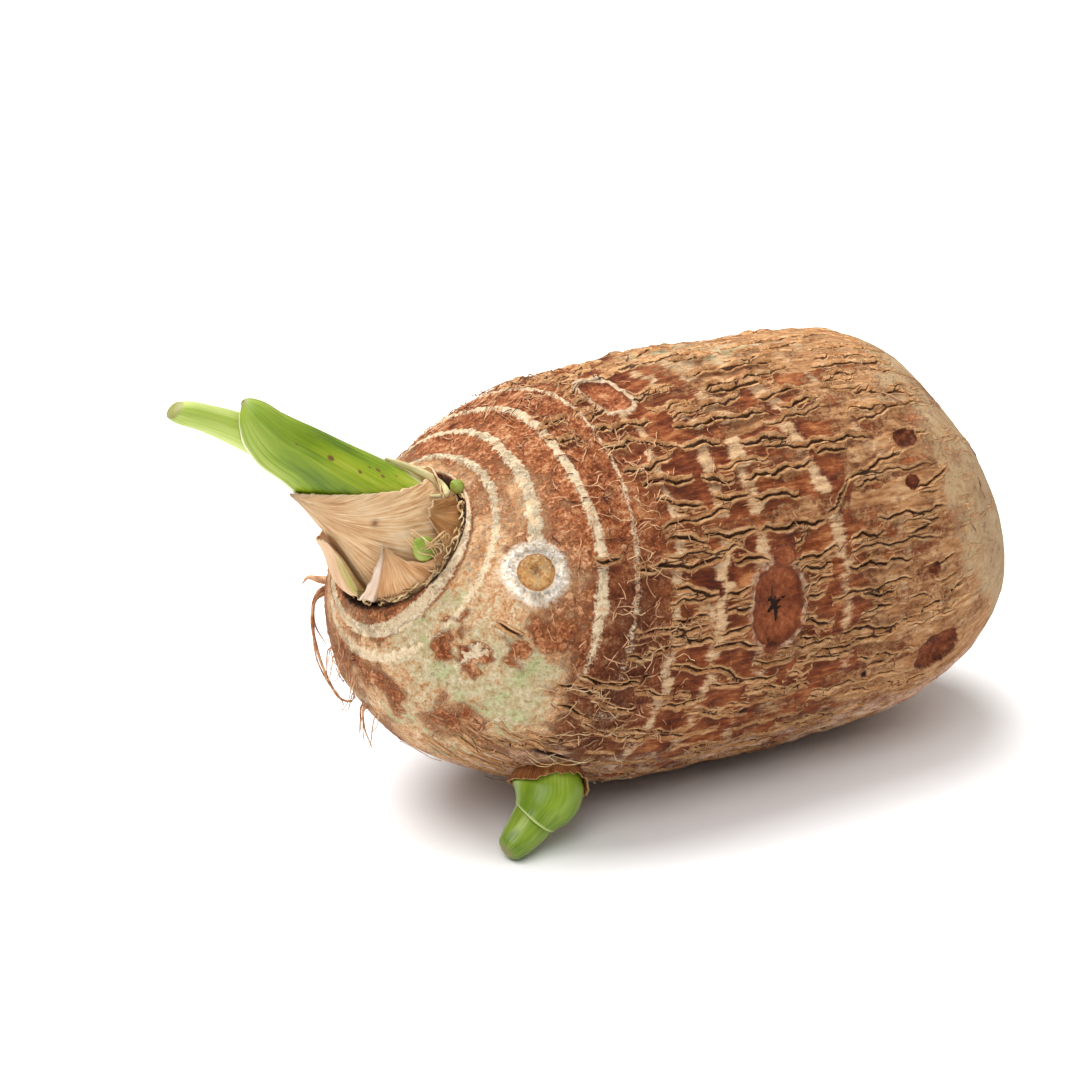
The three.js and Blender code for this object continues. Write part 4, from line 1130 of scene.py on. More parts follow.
def outer_stalk():
    share, v = np.meshgrid(np.linspace(0, 1, STALK_COLUMNS), np.linspace(0, 1, STALK_ROWS))
    top = PETIOLE[-1][0] - 4.0 * share * (1 - share) * smooth(v, 1.0, 0.8)
    h = SHOOT_FOOT + (top - SHOOT_FOOT) * v
    angle = FRONT_MARGIN + share * (2 * math.pi - (0.5 + 1.5 * v ** 2))
    radius = along(PETIOLE, h, 2)
    ribs = 0.05 * np.cos(angle * 34) * smooth(v, 0.0, 0.2) * smooth(v, 1.0, 0.8)
    rolled = 0.5 * bell(share / 0.03) * smooth(v, 0.25, 0.5) * smooth(v, 1.0, 0.9)
    edge = np.minimum(share, 1 - share)
    thick = np.minimum(PETIOLE_WALL, 0.25 + 30 * edge) * np.minimum(1, radius / 2.0)
    skins = [round_stalk(h, radius + ribs + rolled - depth, angle) for depth in (0, thick)]
    turn = np.stack([h, 10 * np.cos(angle), 10 * np.sin(angle)], -1)
    creamy = smooth(h, 20, 6) * bell(turned(np.degrees(angle), 78) / 26)
    return thin_wall("leaf_stalk_outer", skins, False, turn, grown=v, margin=share,
                     fleck=fleck_field(h, angle, radius), creamy=creamy)


stalk_outer = outer_stalk()

# %% [markdown]
# The inner stalk is a tube with a point at either end.

# %% The inner stalk
def closed_tube_faces(rows, columns):
    """Faces of a tube, and of the cones to two end points that come after its rows."""
    faces = grid_faces(rows, columns)
    last, foot, tip = (rows - 1) * columns, rows * columns, rows * columns + 1
    for j in range(columns):
        k = (j + 1) % columns
        faces.append((k, j, foot))
        faces.append((last + j, last + k, tip))
    return faces


def inner_stalk():
    columns, rows = 72, 90
    theta, h = np.meshgrid(np.linspace(0, 2 * np.pi, columns, endpoint=False),
                           np.linspace(INNER_PETIOLE[0][0], INNER_PETIOLE[-1][0], rows))
    radius = along(INNER_PETIOLE, h, 3) + 0.05 * np.cos(theta * 22)
    points = shoot_point(h, radius * np.cos(theta) + along(INNER_PETIOLE, h, 2),
                         radius * np.sin(theta) + along(INNER_PETIOLE, h, 1)).reshape(-1, 3)
    foot, tip = INNER_PETIOLE[0], INNER_PETIOLE[-1]
    ends = [shoot_point(foot[0], foot[2], foot[1]), shoot_point(tip[0] + 0.2, tip[2], tip[1])]
    turn = np.stack([h, 7 * np.cos(theta), 7 * np.sin(theta)], -1).reshape(-1, 3)
    grown = (h.ravel() - foot[0]) / (tip[0] - foot[0])
    fields = {"grown": np.append(grown, [0, 1]), "margin": np.full(len(points) + 2, 0.5),
              "lengthways": np.concatenate([turn, [[foot[0], 0, 0], [tip[0], 0, 0]]]) * MM}
    piece = new_piece("leaf_stalk_inner", np.concatenate([points, ends]),
                      closed_tube_faces(rows, columns), fields)
    fix_normals(piece)
    return piece


stalk_inner = inner_stalk()
print("inner stalk:", len(stalk_inner.data.polygons), "faces")

# %% [markdown]
# ## Finish of a living stalk
# A living leaf stalk is smooth and slightly waxy: a thin shine over watery green flesh that lets
# some light through, with fine lengthwise veins. It pales along its margins and dries at its
# broken tips. The veins are drawn 0.2 mm wide, as fine as a render can show.

# %% Green stalk
OLIVE_TOP = ((0.32, "#54732A"), (0.5, "#7E9630"), (0.66, "#A0AD48"))


def paint(tree, shader, colour, height, strength, depth):
    """Gives a shader its colour, and a bump of a depth in millimetres."""
    tree.links.new(colour, shader.inputs["Base Color"])
    bump = add(tree, "ShaderNodeBump", {"Height": height, "Strength": strength,
                                        "Distance": depth * MM})
    tree.links.new(bump.outputs[0], shader.inputs["Normal"])


def stalk_finish(name, young, upper=OLIVE_TOP):
    material, tree, shader = new_finish(
        name, Roughness=0.38, IOR=1.42, Specular_IOR_Level=0.45, Subsurface_Weight=0.12,
        Subsurface_Radius=(0.8, 1.0, 0.2), Subsurface_Scale=1.2 * MM)
    place = field(tree, "lengthways", "Vector")
    veins = noise(tree, place, 0.22, detail=3, roughness=0.6, stretch=(60, 1, 1))
    clouds = noise(tree, place, 6.0, detail=3, stretch=(3, 1, 1))
    grown = field(tree, "grown")
    green = tint(tree, mixed(tree, veins, (clouds, 0.7)), *young)
    top = tint(tree, mixed(tree, veins, (clouds, 0.5)), *upper)
    foot = tint(tree, veins, (0.35, "#A9A845"), (0.6, "#CFC987"))
    broken_tip = product(tree, ragged(tree, grown, clouds, 0.01, 0.99, 1.0), 0.8)
    colour = layered(
        tree, green,
        (top, ragged(tree, grown, clouds, 0.5, 0.66, 1.02)),
        (foot, ragged(tree, grown, veins, 0.1, 0.2, 0.1)),
        ("#E4D9A6", ragged(tree, field(tree, "creamy"), veins, 0.8, 0.25, 0.8)),
        ("#6E4F2A", between(tree, field(tree, "fleck"), 0.3, 0.75)),
        ("#DEDDB6", between(tree, field(tree, "margin"), 0.03, 0.006)),
        ("#8C8450", broken_tip),
    )
    paint(tree, shader, colour, veins, 0.3, 0.2)
    return material


stalk_outer.data.materials.append(stalk_finish("living_leaf_stalk", (
    (0.34, "#557010"), (0.45, "#758E14"), (0.54, "#8FA022"), (0.66, "#B0B548"))))
stalk_inner.data.materials.append(stalk_finish("young_leaf_stalk", (
    (0.3, "#88A038"), (0.45, "#A6B850"), (0.6, "#C0CA72"), (0.75, "#D6DA9C")), (
    (0.3, "#7F9836"), (0.5, "#A0B44E"), (0.68, "#C8D086"))))
for piece, node_name in ((stalk_outer, "petiole_outer"), (stalk_inner, "petiole_inner")):
    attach(piece, "root")
    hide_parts(node_name)
    print(piece.name, "is", piece.data.materials[0].name)

# %% [markdown]
# ## Dry sheaths round the foot of the shoot
# The oldest leaf bases dry to paper. The inner one still wraps the stalk and ends in a straight
# margin. The outer one is torn to rags of very different heights. Both are thin walls round the
# stalk's own outline, wrinkled lengthwise, with margins that lift off.

# %% Sheaths
DRY_WALL = 0.35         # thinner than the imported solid, on the same outer skin
PACKED_WALL = 0.8
EASE = GAP + 0.15
OUTER_TEARS = [     # angle, height: 0 front, 90 up
    (-180, 8), (-155, 10), (-140, 12), (-120, 16), (-100, 18.5), (-86, 20), (-80, 19), (-78.5, 15),
    (-77.5, 6), (-76, 4.6), (-72, 5.6), (-54, 9.6), (-38, 12.6), (-31, 14.4), (-29, 14.0),
    (-28, 10.5), (-24, 7.6), (-15, 4.9), (-6, 3.0), (2, 2.2), (8, 3.4), (11, 6.2), (15, 9.3), (22, 10.2),
    (34, 9.0), (42, 6.6), (50, 7.5), (62, 8.4), (80, 6.5), (110, 5), (150, 6)]
FOLD_TIP = (-29.0, 14.2)        # angle and height of the whitish fold's point
FOLD_FOOT = (-66.0, 2.8)        # and of its foot
SHEATH_FAN = (-92.0, 34.0)      # the inner sheath's fibres spread from this corner
BROWN_FAN = (14.0, 12.0)        # and those of the outer one's brown flap from this one
RIM_RADIUS = 10.5               # turns angles round the shoot into millimetres


def sheath_margin(angle):
    """The inner sheath's straight margin: a slanting cut through the shoot."""
    return 19.71 - 1.31 * RIM_RADIUS * np.sin(angle) + 0.36 * RIM_RADIUS * np.cos(angle)


def fan(degrees, h, middle):
    """Coordinates that run outwards from a corner and across its rays, in millimetres."""
    across = np.radians(turned(degrees, middle[0])) * RIM_RADIUS
    rise = h - middle[1]
    return np.stack([np.hypot(across, rise), 14 * np.arctan2(across, -rise), 0 * h], -1)


def sheath(name, margin, stand, wrinkle, flare, grain, fields, columns=330, rows=38):
    """A dry sheath. Its rules give the margin's height, how far it stands off, and its fibres."""
    theta, v = np.meshgrid(np.linspace(-np.pi, np.pi, columns, endpoint=False),
                           np.linspace(0, 1, rows))
    degrees = np.degrees(theta)
    round_about = np.stack([np.cos(theta) * 10, np.sin(theta) * 10, v * 4], -1)
    ragged_top = 0.22 * drift(round_about * [1, 1, 0], 1.6, seed=len(name))
    h = SHOOT_FOOT + (np.maximum(margin(theta) + ragged_top, 2.2) - SHOOT_FOOT) * v
    radius = along(PETIOLE, h, 2) + stand(degrees, h)
    creases = wrinkle * drift(grain(degrees, h) * [0.12, 1, 1], 2.2, seed=4) * smooth(v, 0.0, 0.5)
    lift = flare * smooth(v, 0.6, 1.0) ** 2
    skins = [round_stalk(h, radius + creases + lift - depth, theta) for depth in (0, DRY_WALL)]
    made = {key: rule(degrees, h) for key, rule in fields.items()}
    return thin_wall(name, skins, True, grain(degrees, h), grown=v, **made)


def outer_margin(theta):
    angles, heights = zip(*OUTER_TEARS)
    return np.interp(np.degrees(theta), angles, heights, period=360)


def above_fold(degrees, h):
    """Above 0 between the fold's two edges, which meet at its tip."""
    share = (degrees - FOLD_TIP[0]) / (FOLD_FOOT[0] - FOLD_TIP[0])
    line = FOLD_TIP[1] + share * (FOLD_FOOT[1] - FOLD_TIP[1])
    return np.where((share > -0.02) & (degrees > -77), h - line, -1.0)


def outer_stand(degrees, h):
    loose_left = 2.6 * bell(turned(degrees, -108) / 34) * smooth(h, 19, 5) * smooth(h, -1.5, 4)
    ridge = 1.1 * smooth(above_fold(degrees, h), -0.4, 0.7)
    bulge = 0.8 * bell(turned(degrees, -36) / 22) * smooth(h, 13, 4)
    tight = 1.1 * bell(turned(degrees, -60) / 45) * smooth(h, 6, 1)
    return 2 * EASE + 1.6 + loose_left + ridge + bulge - tight


def outer_grain(degrees, h):
    lengthwise = np.stack([h, np.radians(degrees) * RIM_RADIUS, 0 * h + 30], -1)
    crescent = ((degrees > -77) & (degrees < 6))[..., None]
    brown = ((degrees >= 6) & (degrees < 64))[..., None]
    grain = np.where(crescent, fan(degrees, h, FOLD_TIP), lengthwise)
    return np.where(brown, fan(degrees, h, BROWN_FAN), grain)


sheath_inner = sheath("dry_sheath_inner", sheath_margin,
                      lambda degrees, h: EASE + PACKED_WALL - 0.2 + 0 * h, 0.13, 0.05,
                      lambda degrees, h: fan(degrees, h, SHEATH_FAN), {
                          "dash": lambda degrees, h: bell((degrees + 21.5) / 5) * bell((h - 17.6) / 0.7)})
sheath_outer = sheath("dry_sheath_outer", outer_margin, outer_stand, 0.24, 1.0, outer_grain, {
    "white_fold": lambda degrees, h: smooth(above_fold(degrees, h), -0.3, 0.3),
    "ginger": lambda degrees, h: 1.0 * ((degrees > -77) & (degrees < 6)),
    "brown_flap": lambda degrees, h: smooth(degrees, 4, 8) * smooth(degrees, 70, 56),
    "olive": lambda degrees, h: bell((degrees + 82) / 5) * smooth(h, 1, 5) * smooth(h, 17, 11),
})

# %% [markdown]
# ## Finish of dry sheath
# Dry sheath is papery: matt, pinkish tan, with every fibre showing as a fine line, darker where
# it is dirty and almost white where it is creased. The fibres are drawn 0.2 mm wide.

# %% Dry sheath finish
def papery(name, stops, layers=(), edge="#D9C19C"):
    """Dry leaf-base paper: fine fibres, cloudy tones, then (mask attribute, colour stops) layers."""
    material, tree, shader = new_finish(name, Roughness=0.68, IOR=1.45, Specular_IOR_Level=0.35)
    place = field(tree, "lengthways", "Vector")
    fibres = noise(tree, place, 0.2, detail=4, roughness=0.6, stretch=(26, 1, 1))
    clouds = noise(tree, place, 3.0, detail=3, stretch=(3, 1, 1))
    tone = mixed(tree, fibres, (clouds, 0.4))
    colour = tint(tree, tone, *stops)
    for mask, other_stops in layers:
        colour = layered(tree, colour, (tint(tree, tone, *other_stops), field(tree, mask)))
    dirt = ragged(tree, clouds, fibres, 0.5, 0.6, 0.78)
    rim = ragged(tree, field(tree, "grown"), fibres, 0.05, 0.965, 1.0)
    colour = layered(tree, colour, ("#7A4A28", product(tree, dirt, 0.5)),
                     (edge, product(tree, rim, 0.55)))
    paint(tree, shader, colour, fibres, 0.9, 0.6)
    return material


INNER_PAPER = ((0.3, "#8A5C36"), (0.43, "#BD9163"), (0.54, "#DAB78C"), (0.68, "#F2DFC0"))
LEFT_PAPER = ((0.3, "#A97B55"), (0.43, "#CDA27A"), (0.54, "#DDB992"), (0.68, "#EBD2B4"))
WHITE_PAPER = ((0.3, "#C9A285"), (0.43, "#E2C3A8"), (0.56, "#F0DCC8"))
GINGER_PAPER = ((0.3, "#8C5630"), (0.43, "#C08A59"), (0.54, "#DAAD7E"), (0.68, "#F0D3AE"))
BROWN_PAPER = ((0.3, "#744424"), (0.43, "#A8723F"), (0.54, "#C08E5A"), (0.68, "#D8B084"))
DASH = ((0.3, "#5A3218"), (0.6, "#7C4A28"))
OLIVE_PAPER = ((0.3, "#6F6A2A"), (0.5, "#A39A48"), (0.7, "#C2B868"))
sheath_inner.data.materials.append(papery("dry_leaf_sheath", INNER_PAPER, (("dash", DASH),)))
sheath_outer.data.materials.append(papery("torn_leaf_sheath", LEFT_PAPER, (
    ("ginger", GINGER_PAPER), ("brown_flap", BROWN_PAPER), ("white_fold", WHITE_PAPER),
    ("olive", OLIVE_PAPER))))
for piece, node_name in ((sheath_inner, "sheath_inner_dry"), (sheath_outer, "sheath_outer_dry")):
    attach(piece, "root")
    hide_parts(node_name)
    print(piece.name, "is", piece.data.materials[0].name)

# %% [markdown]
# ## Strands
# Old roots, loose straw and the rolled rim of a leaf base are all tubes that taper along a curve,
# so one function makes them. The curve passes through a few given points.

# %% Strands along curves
def curve_through(points, samples):
    """A smooth curve through points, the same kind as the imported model's."""
    points = np.array(points, float)
    points = np.concatenate([[2 * points[0] - points[1]], points, [2 * points[-1] - points[-2]]])
    knots = np.concatenate([[0], np.cumsum(np.linalg.norm(np.diff(points, axis=0), axis=1) ** 0.5)])
    found = []
    for t in np.linspace(knots[1], knots[-2], samples):
        i = min(max(np.searchsorted(knots, t) - 1, 1), len(points) - 3)
        p, k = points[i - 1:i + 3], knots[i - 1:i + 3]
        a = [(k[n + 1] - t) / (k[n + 1] - k[n]) * p[n] + (t - k[n]) / (k[n + 1] - k[n]) * p[n + 1]
             for n in range(3)]
        b = [(k[n + 2] - t) / (k[n + 2] - k[n]) * a[n] + (t - k[n]) / (k[n + 2] - k[n]) * a[n + 1]
             for n in range(2)]
        found.append((k[2] - t) / (k[2] - k[1]) * b[0] + (t - k[1]) / (k[2] - k[1]) * b[1])
    return np.array(found)


def strands(name, rows, samples=24, sides=6):
    """One mesh of many tubes. Each row is (points along it, radii from root to tip)."""
    theta = np.arange(sides) * 2 * np.pi / sides
    points, faces, places = [], [], []
    for path_points, radii in rows:
        path = curve_through(path_points, samples)
        radius = np.interp(np.linspace(0, len(radii) - 1, samples), range(len(radii)), radii)
        forward = unit(np.gradient(path, axis=0))
        side = unit(np.cross(forward, shoot_up + 0.3 * shoot_front))
        over = np.cross(forward, side)
        around = np.cos(theta)[:, None] * side[:, None] + np.sin(theta)[:, None] * over[:, None]
        first = sum(len(p) for p in points)
        points.append((path[:, None] + radius[:, None, None] * around).reshape(-1, 3))
        faces += grid_faces(samples, sides, first)
        ends = first, first + (samples - 1) * sides
        faces += [[end + corner for corner in range(sides)] for end in ends]
        length = np.repeat(np.linspace(0, 1, samples), sides)
        places.append(np.stack([30 * length, np.tile(np.cos(theta), samples) + len(places) * 3,
                                np.tile(np.sin(theta), samples)], -1))
    place = np.concatenate(places)
    piece = new_piece(name, np.concatenate(points), faces, {
        "lengthways": place * MM, "grown": place[:, 0] / 40})
    fix_normals(piece)
    return piece


def off_stalk(height, degrees, off):
    """A point off the stalk's outline, at a height and an angle round it."""
    height = np.float64(height)
    return round_stalk(height, along(PETIOLE, height, 2) + off, math.radians(degrees))


COLLAR = [      # height, angle, how far off the stalk's outline, radius
    (19, 78, 0.5, 0.35), (15.5, 76, 0.9, 0.7), (11, 75, 1.2, 0.95), (7, 73, 1.5, 1.15),
    (4.4, 68, 1.9, 1.2), (3.9, 60, 2.2, 1.1), (5.0, 51, 2.4, 0.9), (7.0, 44, 2.2, 0.6), (9.0, 40, 1.6, 0.3)]
collar = strands("rolled_sheath_rim", [([off_stalk(h, a, off) for h, a, off, _ in COLLAR],
                                        [r for *_, r in COLLAR])], samples=60, sides=12)
collar.data.materials.append(papery("fresh_sheath_rim", (
    (0.3, "#A69A54"), (0.43, "#CDBF80"), (0.55, "#E2D7A4"), (0.7, "#F0E9C8")), edge="#E2D7A4"))
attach(collar, "root")
print("rolled rim:", len(collar.data.polygons), "faces")

# %% [markdown]
# ## Small buds beside the shoot
# Two green buds sit in the angle of the leaf bases. Each is a small pointed ball, and the front
# one is squashed flat against the shoot.

# %% Buds
def small_bud(name, h, degrees, distance, size, flatness):
    """A bud at a height, an angle and a distance from the shoot's axis."""
    rows, columns = 24, 32
    latitude, longitude = np.meshgrid(np.linspace(-np.pi / 2, np.pi / 2, rows)[1:-1],
                                      np.linspace(0, 2 * np.pi, columns, endpoint=False),
                                      indexing="ij")
    angle = math.radians(degrees)
    out = math.cos(angle) * shoot_front + math.sin(angle) * shoot_up
    side = np.cross(shoot_axis, out)
    slim = np.cos(latitude) ** (1 + 0.5 * smooth(latitude, 0, np.pi / 2))
    point_up = 1 + 0.3 * smooth(latitude, 0.2, np.pi / 2)
    local = [slim * np.cos(longitude) * flatness, slim * np.sin(longitude), np.sin(latitude) * point_up]
    middle = shoot_point(h, distance * math.cos(angle), distance * math.sin(angle))
    points = middle + size * sum(c[..., None] * d for c, d in zip(local, (out, side, shoot_axis)))
    points = points.reshape(-1, 3)
    ends = [middle - size * shoot_axis, middle + size * 1.3 * shoot_axis]
    height = np.append(np.sin(latitude).ravel() * 0.5 + 0.5, [0, 1])
    place = np.concatenate([points, ends])
    local_place = np.stack([(place - middle) @ shoot_axis, (place - middle) @ out,
                            (place - middle) @ side], -1) * MM
    bud = new_piece(name, place, closed_tube_faces(rows - 2, columns), {
        "grown": height * 0.7 + 0.2, "margin": np.full(len(place), 0.5), "lengthways": local_place})
    fix_normals(bud)
    return bud


bud_finish = stalk_finish("young_bud", (
    (0.3, "#5E6E1E"), (0.45, "#7E8C34"), (0.6, "#9AA350"), (0.75, "#B9B778")))
for name, node_name, sizes in (
        ("bud_upper", "crown_bud_upper", (1.3, 67, 18.6, 1.7, 1.0)),
        ("bud_front", "crown_bud_front", (6.3, -2, 16.3, 2.9, 0.55))):
    bud = small_bud(name, *sizes)
    bud.data.materials.append(bud_finish)
    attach(bud, "root")
    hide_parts(node_name)
    print(name + ":", len(bud.data.polygons), "faces")

# %% [markdown]
# ## The side shoot
# Under the front a side bud has broken out of its brown husk. Its first scale is round like a
# cup, whose mouth is cut at a slant, and the next leaf comes out of the mouth, down to the floor.
# Both are tubes round one path, and their radii are (share of the path, radius) points.

# %% The side shoot's path
SIDE_PATH = [
    (-56.8, -27.4, 19.2), (-58.6, -28.9, 15.2), (-61.0, -30.5, 11.3), (-65.2, -32.1, 7.9),
    (-70.3, -33.8, 5.0), (-74.2, -34.7, 3.0), (-76.2, -34.9, 2.1)]
SCALE_RADII = [(0, 5.4), (0.12, 7.3), (0.23, 8.4), (0.33, 8.3), (0.43, 7.3), (0.49, 6.3), (0.53, 5.7)]
TIP_RADII = [
    (0.33, 4.6), (0.56, 5.2), (0.74, 4.5), (0.88, 3.6), (0.925, 3.1), (0.95, 2.2), (0.962, 0.8)]
MOUTH_TILT = 0.3        # how much further than its middle the mouth's furthest side reaches
MOUTH_FACES = 38        # the angle of that side
SIDE_POINTS = curve_through(SIDE_PATH, 600)
side_steps = np.linalg.norm(np.diff(SIDE_POINTS, axis=0), axis=1)
SIDE_LENGTH = side_steps.sum()
SIDE_SHARE = np.concatenate([[0], np.cumsum(side_steps)]) / SIDE_LENGTH


def side_point(place, theta, radius):
    """A point round the side shoot's path; angle 0 faces the front."""
    place, theta, radius = np.broadcast_arrays(place, theta, radius)

    def middle(s):
        return np.stack([np.interp(s, SIDE_SHARE, SIDE_POINTS[:, c]) for c in range(3)], -1)

    forward = unit(middle(np.minimum(place + 0.02, 1)) - middle(np.maximum(place - 0.02, 0)))
    side = unit(np.array([0.0, -1.0, 0.0]) + forward * forward[..., 1:2])
    across = np.cross(forward, side)
    return (middle(place) + (radius * np.cos(theta))[..., None] * side
            + (radius * np.sin(theta))[..., None] * across)


def side_piece(name, places, radii, tilt=0.0, columns=96):
    """A closed tube round the path, with a mouth that may be cut at a slant."""
    theta, row = np.meshgrid(np.linspace(0, 2 * np.pi, columns, endpoint=False),
                             np.arange(len(places)))
    place, radius = np.asarray(places)[row], np.asarray(radii)[row]
    reach = place * (1 + tilt * np.cos(theta - math.radians(MOUTH_FACES)))
    points = side_point(reach, theta, radius).reshape(-1, 3)
    faces = grid_faces(len(places), columns)
    faces += [list(range(columns)), list(range(len(points) - columns, len(points)))]
    turn = np.stack([place * SIDE_LENGTH, 6 * np.cos(theta), 6 * np.sin(theta)], -1).reshape(-1, 3)
    piece = new_piece(name, points, faces, {"grown": place.ravel(), "lengthways": turn * MM})
    fix_normals(piece)
    return piece


mouth = SCALE_RADII[-1][0]
leaf_start, leaf_end = TIP_RADII[0][0], TIP_RADII[-1][0]
outer_places = np.linspace(0, mouth, 46)
inner_places = np.linspace(mouth, 0.3, 14)      # back down inside the cup, along the leaf
scale = side_piece(
    "side_shoot_cup",
    np.concatenate([outer_places, inner_places]),
    np.concatenate([along(SCALE_RADII, outer_places, 1),
                    along(TIP_RADII, np.maximum(inner_places, leaf_start), 1) + EASE]),
    tilt=MOUTH_TILT)
tip_places = np.linspace(leaf_start, leaf_end, 46)
tip = side_piece("side_shoot_leaf", tip_places, along(TIP_RADII, tip_places, 1))
print("side shoot:", round(float(SIDE_LENGTH), 1), "mm along its path")

# %% [markdown]
# The scale and the leaf are living skin, a little shinier than the stalk. Dark veins gather below
# the margin, and the margin itself is pale.

# %% Side shoot finish
def side_finish(name, rim, rim_colour, *stops):
    """Green scale skin: rim is the place along the path where the margin pales."""
    material, tree, shader = new_finish(
        name, Roughness=0.32, IOR=1.42, Specular_IOR_Level=0.5, Subsurface_Weight=0.1,
        Subsurface_Radius=(0.6, 1.0, 0.2), Subsurface_Scale=1.2 * MM)
    place = field(tree, "lengthways", "Vector")
    veins = noise(tree, place, 0.3, detail=3, stretch=(34, 1, 1))
    clouds = noise(tree, place, 4.0, detail=2, stretch=(1.6, 1, 1))
    grown = field(tree, "grown")
    colour = tint(tree, mixed(tree, veins, (clouds, 0.65)), *stops)
    past_rim = plus(tree, -rim, (grown, 1.0))
    off_rim = add(tree, "ShaderNodeMath", {0: past_rim}, operation="ABSOLUTE").outputs[0]
    near_rim = between(tree, off_rim, 0.02, 0.004)
    dark_veins = product(tree, ragged(tree, veins, clouds, 0.3, 0.48, 0.58),
                         ragged(tree, grown, clouds, 0.25, rim - 0.16, rim - 0.05))
    colour = layered(tree, colour, ("#3F5716", product(tree, dark_veins, 0.7)),
                     (rim_colour, product(tree, near_rim, 0.8)))
    paint(tree, shader, colour, veins, 0.3, 0.2)
    return material


scale.data.materials.append(side_finish(
    "round_green_scale", mouth, "#B9C67C", (0.3, "#5C7A10"), (0.45, "#748F1C"), (0.6, "#8BA430"),
    (0.75, "#AFBF60")))
tip.data.materials.append(side_finish(
    "side_leaf_skin", leaf_end, "#7E7A3A", (0.3, "#56720E"), (0.45, "#6E8A1C"), (0.6, "#869C34"),
    (0.75, "#AAB966")))
for piece, node_name in ((scale, "side_shoot_scale"), (tip, "side_shoot_tip")):
    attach(piece, "root")
    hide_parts(node_name)

# %% [markdown]
# The husk is the old bud case: a thin brown collar with a high flap on either side and a pale
# torn edge. It is a wall round the cup's own outline.

# %% Husk
HUSK_EDGE = [       # angle, share of the path that the husk's torn edge reaches
    (-120, 0.25), (-75, 0.27), (-35, 0.15), (10, 0.12), (45, 0.2), (80, 0.31), (130, 0.3),
    (180, 0.24)]


def husk():
    columns, rows = 160, 24
    theta, v = np.meshgrid(np.linspace(0, 2 * np.pi, columns, endpoint=False),
                           np.linspace(0, 1, rows))
    torn = 0.012 * np.sin(7 * theta) + 0.008 * np.sin(17 * theta + 1) + 0.006 * np.sin(31 * theta)
    place = v * (np.interp(np.degrees(theta), *zip(*HUSK_EDGE), period=360) + torn)
    wrinkle = 0.18 * np.sin(13 * theta + 3 * v) + 0.12 * np.sin(29 * theta + 5 * v)
    curl = 0.5 * smooth(v, 0.6, 1.0) ** 2
    radius = along(SCALE_RADII, place, 1) + GAP + 0.5 + wrinkle * v + curl
    skins = [side_point(place, theta, radius), side_point(place, theta, radius - DRY_WALL)]
    turn = np.stack([place * SIDE_LENGTH, 8 * np.cos(theta), 8 * np.sin(theta)], -1)
    return thin_wall("side_shoot_husk_case", skins, True, turn, grown=v)


husk_case = husk()
husk_case.data.materials.append(papery("dry_bud_husk", (
    (0.28, "#43200E"), (0.42, "#7A431F"), (0.56, "#A36A38"), (0.7, "#C89A62")), edge="#D2B084"))
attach(husk_case, "root")
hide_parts("side_shoot_husk")

# %% [markdown]
# ## Fibres on the skin
# Torn leaf bases leave threads that lie tangled over the bark. Geometry Nodes scatter them over
# the corm where a density field says so. Each thread starts as a short straight line, turned at
# random on the skin, with a random shift of its own stored on it.

# %% Scatter short lines over a surface
THREAD_INPUTS = (       # label, kind of socket, default
    ("Surface", "NodeSocketGeometry", None),
    ("Density", "NodeSocketFloat", 1.0), ("Length", "NodeSocketFloat", 0.006),
    ("Thickness", "NodeSocketFloat", 0.0001), ("Curl", "NodeSocketFloat", 0.002),
    ("Lift", "NodeSocketFloat", 0.0003), ("Steps", "NodeSocketInt", 6),
    ("Seed", "NodeSocketInt", 1))


def scattered_lines(tree, given, density_field):
    where = add(tree, "GeometryNodeInputNamedAttribute", {"Name": density_field})
    density = product(tree, where.outputs["Attribute"], given["Density"])
    points = add(tree, "GeometryNodeDistributePointsOnFaces", {
        "Mesh": given["Surface"], "Density": density, "Seed": given["Seed"]})
    line = add(tree, "GeometryNodeCurvePrimitiveLine", {"Start": (-0.5, 0, 0), "End": (0.5, 0, 0)})
    steps = add(tree, "GeometryNodeResampleCurve", {"Curve": line.outputs[0], "Count": given["Steps"]})
    spin = add(tree, "FunctionNodeRandomValue", {2: -math.pi, 3: math.pi, "Seed": given["Seed"]})
    turn = add(tree, "ShaderNodeCombineXYZ", {"Z": spin.outputs[1]})
    spun = add(tree, "FunctionNodeRotateRotation", {
        "Rotation": points.outputs["Rotation"], "Rotate By": turn.outputs[0]},
        rotation_space="LOCAL")
    size = add(tree, "FunctionNodeRandomValue", {2: 0.45, 3: 1.4, "Seed": given["Seed"]})
    laid = add(tree, "GeometryNodeInstanceOnPoints", {
        "Points": points.outputs["Points"], "Instance": steps.outputs[0],
        "Rotation": spun.outputs[0], "Scale": product(tree, size.outputs[1], given["Length"])})
    shift = add(tree, "FunctionNodeRandomValue", {
        0: (-1, -1, -1), 1: (1, 1, 1), "Seed": given["Seed"]}, data_type="FLOAT_VECTOR")
    marked = add(tree, "GeometryNodeStoreNamedAttribute", {
        "Geometry": laid.outputs[0], "Name": "own_shift", "Value": shift.outputs[0]},
        data_type="FLOAT_VECTOR", domain="INSTANCE")
    return add(tree, "GeometryNodeRealizeInstances", {"Geometry": marked.outputs[0]}).outputs[0]


# %% [markdown]
# A noise bends every line. The line's own shift moves it through the noise, so that neighbours
# bend differently. Then it is pressed back to the skin, a little above it here and there, and
# given a three-sided section.

# %% Bend the lines and press them on the skin
THREAD_WAVES = 260.0        # waves of the bending noise in a metre: one in about 4 mm


